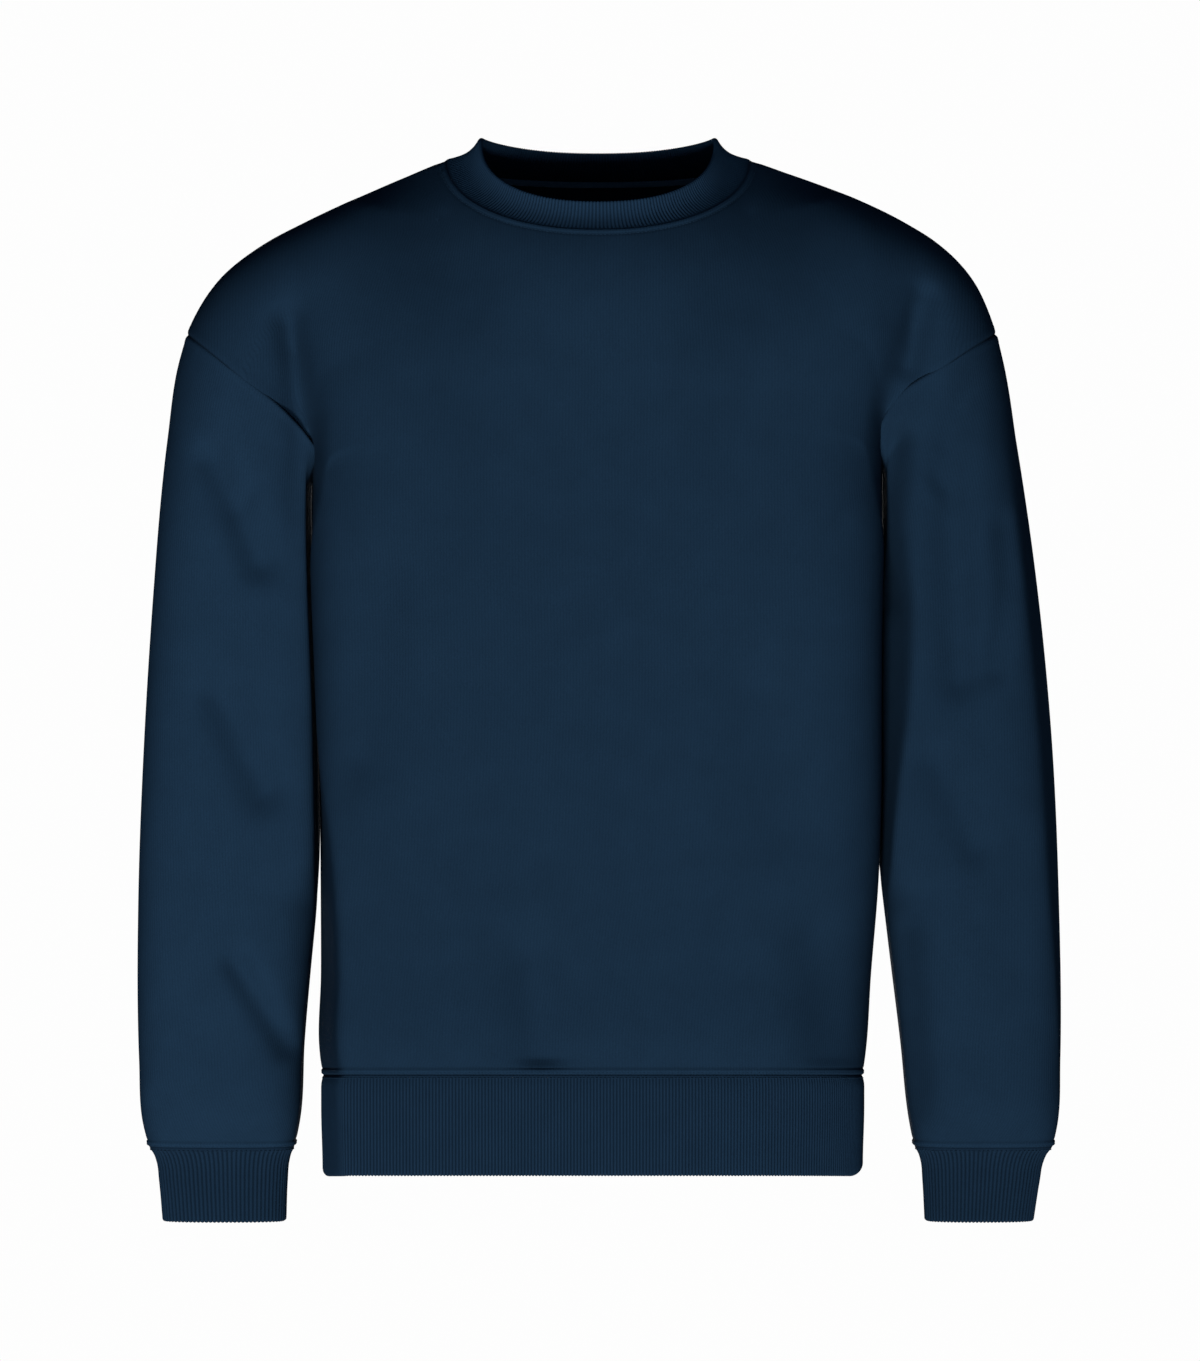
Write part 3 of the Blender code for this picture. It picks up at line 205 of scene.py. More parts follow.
SleeveSection = namedtuple("SleeveSection", "height left_inner right_inner depth centre")
SLEEVE_SECTIONS = (
    SleeveSection(-0.190, -0.1900, 0.1880, 0.0740, 0.000),
    SleeveSection(-0.240, -0.1900, 0.1880, 0.0730, -0.002),
    SleeveSection(-0.320, -0.1900, 0.1880, 0.0690, -0.005),
    SleeveSection(-0.400, -0.1900, 0.1890, 0.0640, -0.008),
    SleeveSection(-0.470, -0.1902, 0.1915, 0.0590, -0.010),
    SleeveSection(-0.510, -0.1932, 0.1965, 0.0560, -0.010),
    SleeveSection(-0.551, -0.1973, 0.2015, 0.0530, -0.009),
    SleeveSection(-0.606, -0.2022, 0.2084, 0.0480, -0.005),
    SleeveSection(-0.661, -0.2056, 0.2146, 0.0410, -0.001),
    SleeveSection(CUFF_SEAM, -0.2091, 0.2180, 0.0300, 0.000),
)

# Straight strips that recede from a sleeve's front half to its edges: their widths in front view.
StripSection = namedtuple("StripSection", "height left_inner left_outer right_inner right_outer")
SLEEVE_STRIPS = (
    StripSection(-0.190, 0.002, 0.002, 0.018, 0.008),
    StripSection(-0.250, 0.002, 0.002, 0.024, 0.012),
    StripSection(-0.340, 0.002, 0.002, 0.024, 0.015),
    StripSection(-0.420, 0.002, 0.002, 0.014, 0.015),
    StripSection(-0.500, 0.002, 0.002, 0.004, 0.013),
    StripSection(-0.606, 0.002, 0.002, 0.002, 0.006),
    StripSection(CUFF_SEAM, 0.002, 0.002, 0.002, 0.002),
)
NARROW_STRIPS = (0.02, 0.02)  # of the width, inner and outer, on a cuff and on a sleeve's back half

CuffSection = namedtuple("CuffSection", "height left_outer left_inner right_outer right_inner depth")
CUFF_SECTIONS = (
    CuffSection(CUFF_SEAM, -0.3100, -0.2091, 0.3140, 0.2180, 0.0300),
    CuffSection(-0.6830, -0.3066, -0.2116, 0.3100, 0.2210, 0.0272),
    CuffSection(-0.6890, -0.3043, -0.2132, 0.3071, 0.2229, 0.0255),
    CuffSection(-0.7020, -0.3026, -0.2143, 0.3046, 0.2241, 0.0244),
    CuffSection(CUFF_EDGE, -0.3001, -0.2153, 0.3002, 0.2256, 0.0230),
)

# Folds: a soft trough (or, with a negative depth, a ridge) along a path of (x, z) points in front view.
Fold = namedtuple("Fold", "piece face path width depth")
FOLDS = (
    # where the chest turns under the arms, across the armhole seams
    Fold("both", "front", ((-0.2100, -0.1150), (-0.2050, -0.1500), (-0.2020, -0.1780)), 0.010, 0.010),
    Fold("both", "front", ((0.2215, -0.0980), (0.2155, -0.1230), (0.2100, -0.1430)), 0.010, 0.007),
    Fold("both", "back", ((-0.2180, -0.1150), (-0.2080, -0.1560)), 0.016, 0.006),
    Fold("both", "back", ((0.2200, -0.1050), (0.2090, -0.1440)), 0.016, 0.006),
    # front of the body
    Fold("body", "front", ((-0.0950, -0.0900), (-0.0950, -0.1550)), 0.030, 0.0056),
    Fold("body", "front", ((0.0840, -0.1100), (0.0860, -0.1600)), 0.028, 0.0042),
    Fold("body", "front", ((-0.1420, -0.2884), (-0.1573, -0.4092)), 0.022, 0.0070),
    Fold("body", "front", ((0.1100, -0.3700), (0.1230, -0.4500)), 0.028, 0.0056),
    Fold("body", "front", ((-0.0450, -0.5450), (-0.0380, -0.6100)), 0.020, 0.0095),
    Fold("body", "front", ((0.1480, -0.5300), (0.1580, -0.6050)), 0.022, 0.0070),
    # back of the body
    Fold("body", "back", ((-0.1200, -0.1300), (-0.1000, -0.2300)), 0.028, 0.0070),
    Fold("body", "back", ((0.1250, -0.1400), (0.1080, -0.2500)), 0.026, 0.0070),
    Fold("body", "back", ((-0.1350, -0.4300), (-0.0850, -0.5700)), 0.026, 0.0084),
    Fold("body", "back", ((0.1400, -0.4600), (0.0950, -0.6000)), 0.026, 0.0084),
    Fold("body", "back", ((0.0100, -0.5300), (-0.0050, -0.6050)), 0.022, 0.0056),
    # wearer's right sleeve
    Fold("sleeve", "front", ((-0.2615, -0.2080), (-0.2415, -0.2480), (-0.2300, -0.2770)), 0.013, 0.0090),
    Fold("sleeve", "front", ((-0.2560, -0.3700), (-0.2270, -0.4320)), 0.015, 0.0090),
    Fold("sleeve", "front", ((-0.2470, -0.5500), (-0.2125, -0.6070)), 0.010, 0.0085),
    Fold("sleeve", "front", ((-0.2990, -0.6500), (-0.2850, -0.6620)), 0.012, 0.0070),
    Fold("sleeve", "back", ((-0.2900, -0.3900), (-0.2350, -0.4250)), 0.016, 0.0112),
    Fold("sleeve", "back", ((-0.2850, -0.4700), (-0.2300, -0.4950)), 0.016, 0.0098),
    Fold("sleeve", "back", ((-0.2400, -0.5700), (-0.2850, -0.6300)), 0.016, 0.0084),
    # wearer's left sleeve
    Fold("sleeve", "front", ((0.2570, -0.1350), (0.2390, -0.1950), (0.2460, -0.3550)), 0.015, 0.0080),
    Fold("sleeve", "front", ((0.2760, -0.2550), (0.2790, -0.2950), (0.2700, -0.3500)), 0.010, 0.0050),
    Fold("sleeve", "front", ((0.2000, -0.1950), (0.1950, -0.2400), (0.1930, -0.3000)), 0.012, 0.0140),
    Fold("sleeve", "front", ((0.2320, -0.4150), (0.2570, -0.4700)), 0.014, 0.0060),
    Fold("sleeve", "front", ((0.2100, -0.5300), (0.2190, -0.6500)), 0.011, 0.0070),
    Fold("sleeve", "front", ((0.2860, -0.4700), (0.2800, -0.5500)), 0.016, 0.0040),
    Fold("sleeve", "back", ((0.2880, -0.3750), (0.2380, -0.4150)), 0.016, 0.0112),
    Fold("sleeve", "back", ((0.2900, -0.4500), (0.2400, -0.4900)), 0.016, 0.0098),
    Fold("sleeve", "back", ((0.2450, -0.5600), (0.2850, -0.6250)), 0.016, 0.0084),
)
FOLD_FADE_IN = 0.030  # distance from the plane between the faces over which folds reach full depth

# Creases: finer than the folds, pressed in along the cloth's own normal and fading out at both ends.
CREASE_BANKS = 0.45  # height of the low banks beside a crease, as a share of its depth
CREASE_BANKS_AT = 1.9  # and their distance from its middle, in widths
CREASE_ENDS = (0.02, 0.98)  # shares of its path over which a crease keeps some depth
CREASE_END_POWER = 0.7
Crease = namedtuple("Crease", "piece face path width depth")
CREASES = (
    Crease("body", "front", ((-0.1860, -0.2250), (-0.1600, -0.2600)), 0.006, 0.0012),
    Crease("body", "front", ((0.1850, -0.2150), (0.1560, -0.2480)), 0.006, 0.0012),
    Crease("body", "back", ((-0.1850, -0.2200), (-0.1450, -0.2700)), 0.008, 0.0018),
    Crease("body", "back", ((0.1850, -0.2150), (0.1400, -0.2600)), 0.008, 0.0018),
    Crease("sleeve", "front", ((-0.2250, -0.2150), (-0.2500, -0.2500)), 0.006, 0.0014),
    Crease("sleeve", "front", ((0.2220, -0.2100), (0.2480, -0.2400)), 0.006, 0.0014),
    Crease("sleeve", "back", ((-0.2250, -0.2300), (-0.2700, -0.2700)), 0.008, 0.0018),
    Crease("sleeve", "back", ((0.2250, -0.2250), (0.2680, -0.2700)), 0.008, 0.0018),
)

# Seams: a groove at the seam itself, a ridge over the seam allowance, and a pressed row of sewing.
SEAM_FIELDS = "groove groove_width ridge ridge_from ridge_to row_at row_depth row_width"
SeamStyle = namedtuple("SeamStyle", SEAM_FIELDS)
TOPSTITCHED = SeamStyle(0.0003, 0.0006, 0.0007, 0.0008, 0.0040, 0.0048, 0.00030, 0.0010)
PLAIN = SeamStyle(0.0009, 0.0009, 0.0002, 0.0020, 0.0060, 0.0, 0.0, 1.0)
RIDGE_SOFTNESS = 0.0008

RIBS = {"neckband": 252, "hem_band": 468, "cuff_right": 80, "cuff_left": 80}
SAMPLES_PER_RIB = 6
RIB_MIDDLE = 0.6  # mean height of a rib as a share of its full height
RIB_RISE = 0.003  # distance from the seam over which ribs reach their full height
RIB_SHARE_INSIDE = 0.75  # height of the ribs round a band's edge and inside it, as a share of the full one
BAND_RINGS = 40
BAND_NEAR_SEAM = (0.0002, 0.0006, 0.0011, 0.0017, 0.0024, 0.0033, 0.0045, 0.0060, 0.0085)
BAND_STRAIGHT_ROWS = 12
BAND_EDGE_ROWS = 5
BAND_INSIDE_ROWS = 6
BAND_TUCK = 0.0003  # how far a band's seam edge turns in
BAND_TUCK_REACH = 0.0009
BAND_SWELL_REACH = 0.008
BAND_SWELL_FALL = 1.5  # above 1, the swell holds its full height over part of the band
HEM_SWELL = 0.0010  # how far a band's outside stands out between its seam and its edge
NECK_SWELL = 0.0006
CREASE_CLEAR = 0.030  # creases fade out over this distance from a piece's ends

StitchStyle = namedtuple("StitchStyle", "pitch length radius lift dip")
STITCH_SHARE = 0.8  # length of a stitch as a share of the pitch
STITCH_LIFT = 0.3  # height of its middle over the cloth, in thread radii
STITCH_DIP = 2.5  # and how far its ends lie below that
STITCH_STATIONS = np.array([-1.0, -0.5, 0.5, 1.0])  # rings along a stitch, its middle at 0
STITCH_SIDES = 4
RIDGE_STITCHES = 0.0022  # from the hem and cuff seams up to the row on the fleece
RIB_STITCHES = 0.0020  # and down to the row on the rib
LINE_SAMPLES_PER_RIB = 2

TAPE_ROWS = (0.08, 0.90)  # rows of the back panel from its top
SIDES = (("left", "right"), ("right", "left"))  # seen side, wearer's side

PATTERN = "pattern"
# point attribute of painted shading: painted shade in seam grooves and rib valleys, painted light on ridges
# and rib tops, and each piece's painted light or shade; 1 is plain
PAINTED_SHADING = "tone"
PAINTED_SHADING_RANGE = (0.3, 1.3)
GROOVE_PAINTED_SHADE = 650.0  # painted shade in a seam's groove, for each metre of its depth
# painted light on a seam's ridge, for each metre of its height
RIDGE_PAINTED_LIGHT = 160.0
RIB_PAINTED_SHADING = 0.85  # painted shade below a rib's middle height and painted light above it, for each rib's height
# Painted light and shade over each piece as a whole: the wearer's right sleeve and the neckband painted
# lighter, the wearer's left sleeve and the cuffs painted darker.
PAINTED_PIECE_SHADING = {
    "sleeve_right": 1.14,
    "sleeve_left": 0.97,
    "cuff_right": 0.90,
    "cuff_left": 0.82,
    "neckband": 1.18,
}

MOTTLE_SCALE = 45.0
MOTTLE_DETAIL = 3.0
FIBRE_SCALE = 1100.0
FIBRE_DETAIL = 2.0
FUZZ_HEIGHT = 0.5  # height of the fibres as a share of a wale's
STITCH_SLOPE = 0.5  # how far the legs of a knit stitch rise from its middle to its sides, in courses
STITCH_WAVE = 0.15  # share of a wale's height that rises and falls with its stitches
CLOTH_SPECULAR = 0.04
SHEEN_ROUGHNESS = 0.5
SHEEN_TINT = (0.35, 0.50, 0.70, 1.0)

FLOOR_RADIUS = 1.2
FLOOR_CORNERS = 96
FLOOR_COLOUR = (0.80, 0.80, 0.80, 1.0)
FLOOR_ROUGHNESS = 0.8
BACKDROP = 0.985  # brightness that the camera sees behind the garment
GARMENT_MIDDLE = (0.0, 0.0, -0.35)
VIEW_CENTRE = (0.0014, -0.3578)  # X and Z that the camera looks at
VIEW_HEIGHT = 0.9391  # height that it sees at the garment's middle plane
# Lights are aimed at the garment's middle. Size is in degrees for a sun, and in metres for an area.
Light = namedtuple("Light", "name kind place size power")
LIGHTS = (
    Light("key_light", "SUN", (-0.45, -2.80, -1.80), 12.0, "key_power"),
    Light("fill_light", "SUN", (0.10, -2.80, -1.12), 4.0, "fill_power"),
    Light("side_light", "AREA", (-1.50, -1.60, -0.75), 0.8, "side_power"),
    Light("back_light", "AREA", (0.0, 3.00, -0.60), 1.5, "back_power"),
)
SURROUNDINGS_COLOUR = (0.30, 0.65, 1.0)


# ---------------------------------------------------------------- curves
def curve_through(keys, values, at):
    """Smooth curve through (key, value) rows: cubic pieces whose slopes are the mean of their neighbours'."""
    keys = np.asarray(keys, float)
    values = np.asarray(values, float)
    order = np.argsort(keys)
    keys = keys[order]
    values = values[order]
    slopes = np.gradient(values, keys)
    at = np.clip(at, keys[0], keys[-1])
    index = np.clip(np.searchsorted(keys, at) - 1, 0, len(keys) - 2)
    span = keys[index + 1] - keys[index]
    share = (at - keys[index]) / span
    rise = values[index + 1] - values[index]
    bend_in = slopes[index] * span - rise
    bend_out = rise - slopes[index + 1] * span
    line = values[index] + share * rise
    return line + share * (1 - share) * ((1 - share) * bend_in + share * bend_out)


def column(table, name):
    """One named column of a table, as an array."""
    return np.array([getattr(row, name) for row in table])


def table_at(table, name, height):
    """A table's column at any height."""
    return curve_through(column(table, "height"), column(table, name), height)


def smooth_step(value):
    """Rise from 0 to 1 that starts and ends level: 3t^2 - 2t^3."""
    value = np.clip(value, 0.0, 1.0)
    return value * value * (3.0 - 2.0 * value)


def unit(vectors):
    """Vectors of length 1 along the last axis."""
    return vectors / np.maximum(np.linalg.norm(vectors, axis=-1, keepdims=True), TINY)


def along_path(points, shares):
    """Points of a dense path at shares of its length."""
    steps = np.linalg.norm(np.diff(points, axis=0), axis=1)
    lengths = np.concatenate(([0.0], np.cumsum(steps))) / steps.sum()
    return np.stack([np.interp(shares, lengths, part) for part in points.T], axis=1)


def resampled(grid, positions, axis):
    """Grid read at fractional positions along one axis, by a cubic through the four nearest points."""
    grid = np.moveaxis(grid, axis, 0)
    before = np.concatenate([2 * grid[:1] - grid[1:2], grid, 2 * grid[-1:] - grid[-2:-1]])
    index = np.clip(np.floor(positions).astype(int), 0, len(grid) - 2)
    share = (positions - index).reshape((-1,) + (1,) * (grid.ndim - 1))
    first, second, third, fourth = (before[index + step] for step in range(4))
    slope_in = (third - first) / 2.0
    slope_out = (fourth - second) / 2.0
    rise = third - second
    bend = (1 - share) * (slope_in - rise) + share * (rise - slope_out)
    return np.moveaxis(second + share * rise + share * (1 - share) * bend, 0, axis)


def path_position(points, path):
    """Share along a path of straight pieces, and distance from it, for each point. Works in 2 or 3 axes."""
    path = np.asarray(path, float)
    start = path[:-1]
    step = path[1:] - start
    lengths = np.linalg.norm(step, axis=1)
    offset = points[..., None, :] - start
    share = np.clip((offset * step).sum(axis=-1) / (lengths**2), 0.0, 1.0)
    gap = np.linalg.norm(offset - share[..., None] * step, axis=-1)
    nearest = gap.argmin(axis=-1)
    begun = np.concatenate(([0.0], np.cumsum(lengths)[:-1]))
    along = np.take_along_axis(share, nearest[..., None], -1)[..., 0] * lengths[nearest] + begun[nearest]
    return along / lengths.sum(), gap.min(axis=-1)


def front_view(points):
    """The X and Z of points."""
    return points[..., [0, 2]]


def outline_path(side):
    """(x, z) path of the outline on one side, from the neck's middle to the sleeve's end."""
    x = column(OUTLINE, side)
    z = column(OUTLINE, "height")
    length = np.concatenate(([0.0], np.cumsum(np.hypot(np.diff(x), np.diff(z)))))
    dense = np.linspace(0.0, length[-1], OUTLINE_POINTS)
    return np.stack([curve_through(length, x, dense), curve_through(length, z, dense)], axis=1)


def shoulder_profile(share, roof):
    """Rise from 0 to a level 1: a quarter circle where roof is 0, nearly a parabola where it is 1."""
    share = np.clip(share, 0.0, 1.0)
    return (1.0 - (1.0 - share) ** 2) ** (SHOULDER_POWER + ROOF_POWER * roof)


def armhole_path(side):
    """Dense (x, z) path of the armhole seam from the underarm to the end of the shoulder seam."""
    share = np.linspace(0.0, 1.0, DENSE)
    x = curve_through(column(ARMHOLE, "share"), column(ARMHOLE, side), share)
    z = curve_through(column(ARMHOLE, "share"), column(ARMHOLE, side + "_height"), share)
    return np.stack([x, z], axis=1)


def lesser(first, second):
    """The lesser of two shares, its corner rounded: a b / (a^n + b^n)^(1/n), n being the sharpness."""
    total = (first**CORNER_SHARPNESS + second**CORNER_SHARPNESS) ** (1.0 / CORNER_SHARPNESS)
    return first * second / np.maximum(total, TINY)


def worn_depth(x, z, face, arms=True):
    """Distance from the side seams' plane to the cloth.

    The body is a superellipse across with a straight strip at its sides, times a rounded rise below the
    shoulder line. The arm is a round with a web beside the chest. Where both stand, they join as the fifth
    root of the sum of their fifth powers.
    """
    depth = np.zeros_like(x)
    at = np.stack([x, z], axis=-1)
    for side, sign in (("left", -1.0), ("right", 1.0)):
        outline = outline_path(side)
        roof = smooth_step((ROOF_START - np.abs(x)) / (ROOF_START - ROOF_FULL))
        rounding = SHOULDER_ROUND[side] + (NECK_ROUND[face] - SHOULDER_ROUND[side]) * roof
        shoulders = outline[outline[:, 1] > SHOULDER_SEAM_END]
        from_shoulders = path_position(at, shoulders)[1]
        edge = np.abs(table_at(BODY_SECTIONS, side, z))
        across = np.clip(np.abs(x) / edge, 0.0, 1.0)
        power = table_at(SQUARENESS, side, z)
        oval = (1.0 - across**power) ** (1.0 / power)
        if face == "front":
            oval = lesser(oval, (1.0 - across) * edge / table_at(SQUARENESS, side + "_strip", z))
        joined = table_at(BODY_SECTIONS, face, z) * oval * shoulder_profile(from_shoulders / rounding, roof)
        if arms:
            arm_radius = path_position(armhole_path(side)[:1], outline)[1][0] / 2.0
            inward = np.clip(path_position(at, outline)[1] / arm_radius, 0.0, 2.0)
            round_share = np.sqrt(np.clip(1.0 - (1.0 - inward) ** 2, 0.0, 1.0))
            web_share = np.where(inward > 1.0, WEB + (1.0 - WEB) * round_share, round_share)
            arm = ARM_DEPTH * web_share * (1.0 - roof)
            joined = (joined**UNION_SHARPNESS + arm**UNION_SHARPNESS) ** (1.0 / UNION_SHARPNESS)
        depth = np.where(x * sign >= 0.0, joined, depth)
    return depth


def folded(points, face, piece, strength, middle=0.0):
    """Press one kind of folds into points of one face, towards the hollow: depth times exp(-(d / width)^2).

    The press fades out towards the plane between the two faces, which stands at Y = middle.
    """
    sign = 1.0 if face == "front" else -1.0
    press = np.zeros(points.shape[:-1])
    for fold in FOLDS:
        if fold.face == face and fold.piece == piece:
            distance = path_position(front_view(points), fold.path)[1]
            press += fold.depth * np.exp(-((distance / fold.width) ** 2))
    moved = points.copy()
    moved[..., 1] += sign * strength * press * smooth_step(np.abs(points[..., 1] - middle) / FOLD_FADE_IN)
    return moved


def creased(points, face, piece, strength):
    """Inward press of the fine creases: a trough with low banks, times a sine of the share along its path."""
    press = np.zeros(points.shape[:-1])
    for crease in CREASES:
        if crease.face == face and crease.piece == piece:
            along, distance = path_position(front_view(points), crease.path)
            across = distance / crease.width
            trough = np.exp(-(across**2)) - CREASE_BANKS * np.exp(-((across - CREASE_BANKS_AT) ** 2))
            press += crease.depth * trough * np.sin(np.pi * np.clip(along, *CREASE_ENDS)) ** CREASE_END_POWER
    return strength * press


def towards(face):
    """Direction of a face along Y: the front is at -Y."""
    return -1.0 if face == "front" else 1.0


# ---------------------------------------------------------------- seam lines
def armhole_half(side, face, shares, strength):
    """Armhole seam on one face, at shares of its length from the underarm to the shoulder."""
    path = armhole_path(side)
    y = towards(face) * worn_depth(path[:, 0], path[:, 1], face)
    y[0] = 0.0
    y[-1] = 0.0
    dense = np.stack([path[:, 0], y, path[:, 1]], axis=1)
    return folded(along_path(dense, shares), face, "both", strength)


def shoulder_seam(side, shares):
    """Shoulder seam at shares of its length from the armhole to the neck."""
    path = outline_path(side)
    part = path[(path[:, 1] > SHOULDER_SEAM_END) & (np.abs(path[:, 0]) > NECK_SEAM_HALF_WIDTH)]
    end = armhole_path(side)[-1]
    neck = (np.sign(end[0]) * NECK_SEAM_HALF_WIDTH, NECK_SEAM_TOP)
    path = np.vstack([[end], part[::-1], [neck]])
    return along_path(np.stack([path[:, 0], np.zeros(len(path)), path[:, 1]], axis=1), shares)


def neck_loop_half(half_width, top, drop, side_y, reach, powers, shares):
    """Half a neck opening from its left to its right end: an oval that drops and reaches out in Y.

    Its swell is 1 - |x / half width|^power. Y goes by the square root of the swell, and Z by another root.
    """
    angle = np.linspace(np.pi, 0.0, DENSE)
    x = half_width * np.sign(np.cos(angle)) * np.abs(np.cos(angle)) ** NECK_SPACING
    swell = np.clip(1.0 - np.abs(x / half_width) ** powers[0], 0.0, 1.0)
    dense = np.stack([x, side_y + reach * swell**0.5, top - drop * swell ** (1.0 / powers[1])], axis=1)
    return along_path(dense, shares)


def neck_seam(face, shares):
    """Seam of the neckband on one face, from left to right."""
    drop = NECK_SEAM_DROP[face]
    reach = NECK_SEAM_REACH[face]
    return neck_loop_half(NECK_SEAM_HALF_WIDTH, NECK_SEAM_TOP, drop, 0.0, reach, NECK_SEAM_POWERS, shares)


def neck_ring(shares):
    """The whole seam of the neckband, ending where it starts."""
    return np.vstack([neck_seam("front", shares), neck_seam("back", shares)[-2::-1]])


def neck_edge(face, shares):
    """Top edge of the neckband on one face, from left to right."""
    drop = NECK_EDGE_DROP[face]
    reach = NECK_EDGE_REACH[face]
    powers = NECK_EDGE_POWERS[face]
    return neck_loop_half(NECK_EDGE_HALF_WIDTH, NECK_EDGE_TOP, drop, NECK_EDGE_SIDE_Y, reach, powers, shares)


# ---------------------------------------------------------------- panels
def body_row(heights, face, shares):
    """Row of a panel below the armholes, from side seam to side seam, at shares of its length.

    Its dense points go by a cosine to the power 2/3, and so crowd where the row turns to the side seams.
    """
    swing = -np.cos(np.linspace(0.0, np.pi, DENSE))
    across = np.sign(swing) * np.abs(swing) ** (2.0 / BODY_SQUARENESS)
    z = heights[0] + (heights[1] - heights[0]) * (across + 1.0) / 2.0
    left = table_at(BODY_SECTIONS, "left", z)
    right = table_at(BODY_SECTIONS, "right", z)
    x = np.where(across < 0.0, -across * left, across * right)
    y = towards(face) * worn_depth(x, z, face, arms=False)
    y[0] = 0.0
    y[-1] = 0.0
    return along_path(np.stack([x, y, z], axis=1), shares)


def hem_seam(face, shares):
    """Seam of the hem band on one face, from left to right, which rises a little towards the front."""
    row = body_row((HEM_SEAM, HEM_SEAM), face, shares)
    row[:, 2] += HEM_SEAM_LIFT * np.maximum(-row[:, 1], 0.0)
    return row


def relaxed(grid, corners, reach):
    """Let the cloth round some corners settle: each point moves to the mean of its four neighbours."""
    gaps = np.linalg.norm(grid[:, :, None, :] - corners[None, None], axis=3).min(axis=2)
    ease = smooth_step(RELAX_EASE - RELAX_EASE * gaps / reach)[1:-1, 1:-1, None]
    for _ in range(RELAX_STEPS * BASE * BASE):
        mean = (grid[:-2, 1:-1] + grid[2:, 1:-1] + grid[1:-1, :-2] + grid[1:-1, 2:]) / 4.0
        grid[1:-1, 1:-1] += ease * (mean - grid[1:-1, 1:-1])
    return grid


def underarm_dip(row, columns):
    """How far a row bends down beside each underarm, so that rows fan out between side seam and armhole.

    It is exp(-(rows from the underarm / reach)^2), times a smooth curve over the columns.
    """
    across = curve_through(range(len(DIP_ACROSS)), DIP_ACROSS, np.minimum(columns, COLUMNS - columns))
    return UNDERARM_DIP * np.exp(-(((row - LOWER_ROWS) / DIP_ROWS) ** 2)) * across


def top_edge(face, columns):
    """A panel's top edge by column: one shoulder seam, the neck seam, the other shoulder seam."""
    left = columns[columns < SHOULDER_COLUMNS] / SHOULDER_COLUMNS
    right = (COLUMNS - columns[columns > COLUMNS - SHOULDER_COLUMNS]) / SHOULDER_COLUMNS
    middle = columns[(columns >= SHOULDER_COLUMNS) & (columns <= COLUMNS - SHOULDER_COLUMNS)]
    neck = neck_seam(face, (middle - SHOULDER_COLUMNS) / NECK_COLUMNS)
    return np.vstack([shoulder_seam("left", left), neck, shoulder_seam("right", right)])


def lower_share(rows):
    """Share of the way from the hem seam to the underarm, by row."""
    shares = np.concatenate(([0.0, PINCH_SHARE], np.linspace(FIRST_FULL_ROW, 1.0, LOWER_ROWS - 1)))
    return np.interp(rows, np.arange(LOWER_ROWS + 1), shares)


def settled_panel(face, strength):
    """Panel on an even grid before its folds: level rows up to the underarm, then blended ones, relaxed."""
    columns = np.arange(COLUMNS * BASE + 1) / BASE
    rows = np.arange(1, UPPER_ROWS * BASE + 1) / BASE
    left = armhole_half("left", face, np.append(0.0, rows / UPPER_ROWS), strength)
    right = armhole_half("right", face, np.append(0.0, rows / UPPER_ROWS), strength)
    underarms = (left[0, 2], right[0, 2])
    grid = []
    for row in np.arange(LOWER_ROWS * BASE + 1) / BASE:
        heights = [HEM_SEAM + lower_share(row) * (z - HEM_SEAM) for z in underarms]
        level = body_row(heights, face, columns / COLUMNS)
        points = level.copy()
        points[:, 2] += (1.0 - lower_share(row)) * HEM_SEAM_LIFT * np.maximum(-level[:, 1], 0.0)
        points[:, 2] -= underarm_dip(row, columns)
        grid.append(points)
    grid[-1][0] = left[0]
    grid[-1][-1] = right[0]
    top = top_edge(face, columns)
    shift = top[:, 1] - towards(face) * worn_depth(top[:, 0], top[:, 2], face)
    inner = SHOULDER_COLUMNS + 1
    beyond = np.maximum(inner - np.minimum(columns, COLUMNS - columns), 0.0)
    held = np.where(columns < COLUMNS / 2, shift[inner * BASE], shift[(COLUMNS - inner) * BASE])
    shift = np.where(beyond > 0.0, np.interp(beyond, NECK_FADE_AT, NECK_FADE) * held, shift)
    across = (columns / COLUMNS)[:, None]
    underarm_row = level
    for place, row in enumerate(rows, start=1):
        up = 1.0 - (1.0 - row / UPPER_ROWS) ** UPPER_ROW_CROWDING
        flat = (1.0 - up) * underarm_row + up * top
        # The row's ends move onto the armholes, and the rest goes along by the cube of its nearness to them.
        flat = flat + (1.0 - across) ** 3 * (left[place] - flat[0]) + across**3 * (right[place] - flat[-1])
        x = flat[:, 0]
        z = flat[:, 2] - underarm_dip(LOWER_ROWS + row, columns)
        near_neck = smooth_step(1.0 - (top[:, 2] - z) / NECK_BLEND)
        y = towards(face) * worn_depth(x, z, face) + shift * near_neck
        points = np.stack([x, y, z], axis=1)
        points[0] = left[place]
        points[-1] = right[place]
        grid.append(points)
    grid[-1] = top
    grid = np.array(grid)
    neck_corners = top[[SHOULDER_COLUMNS * BASE, (SHOULDER_COLUMNS + NECK_COLUMNS) * BASE]]
    grid = relaxed(grid, neck_corners, NECK_RELAX_REACH)
    return relaxed(grid, np.array([left[0], right[0]]), UNDERARM_RELAX_REACH)


def panel_columns():
    """Columns of a finished panel, crowded beside its side seams."""
    crowded = np.array(SEAM_CROWDING)
    return np.unique(np.concatenate([np.arange(COLUMNS * FINE + 1) / FINE, crowded, COLUMNS - crowded]))


def below_neck(margin):
    """Which columns of a finished panel end at the neck seam, less a margin in cells at both ends."""
    columns = panel_columns()
    return np.abs(columns - COLUMNS / 2) <= NECK_COLUMNS / 2 - margin


def panel_rows():
    """Rows of a finished panel, crowded beside its hem."""
    return np.unique(np.concatenate([np.arange(ROWS * FINE + 1) / FINE, HEM_CROWDING]))


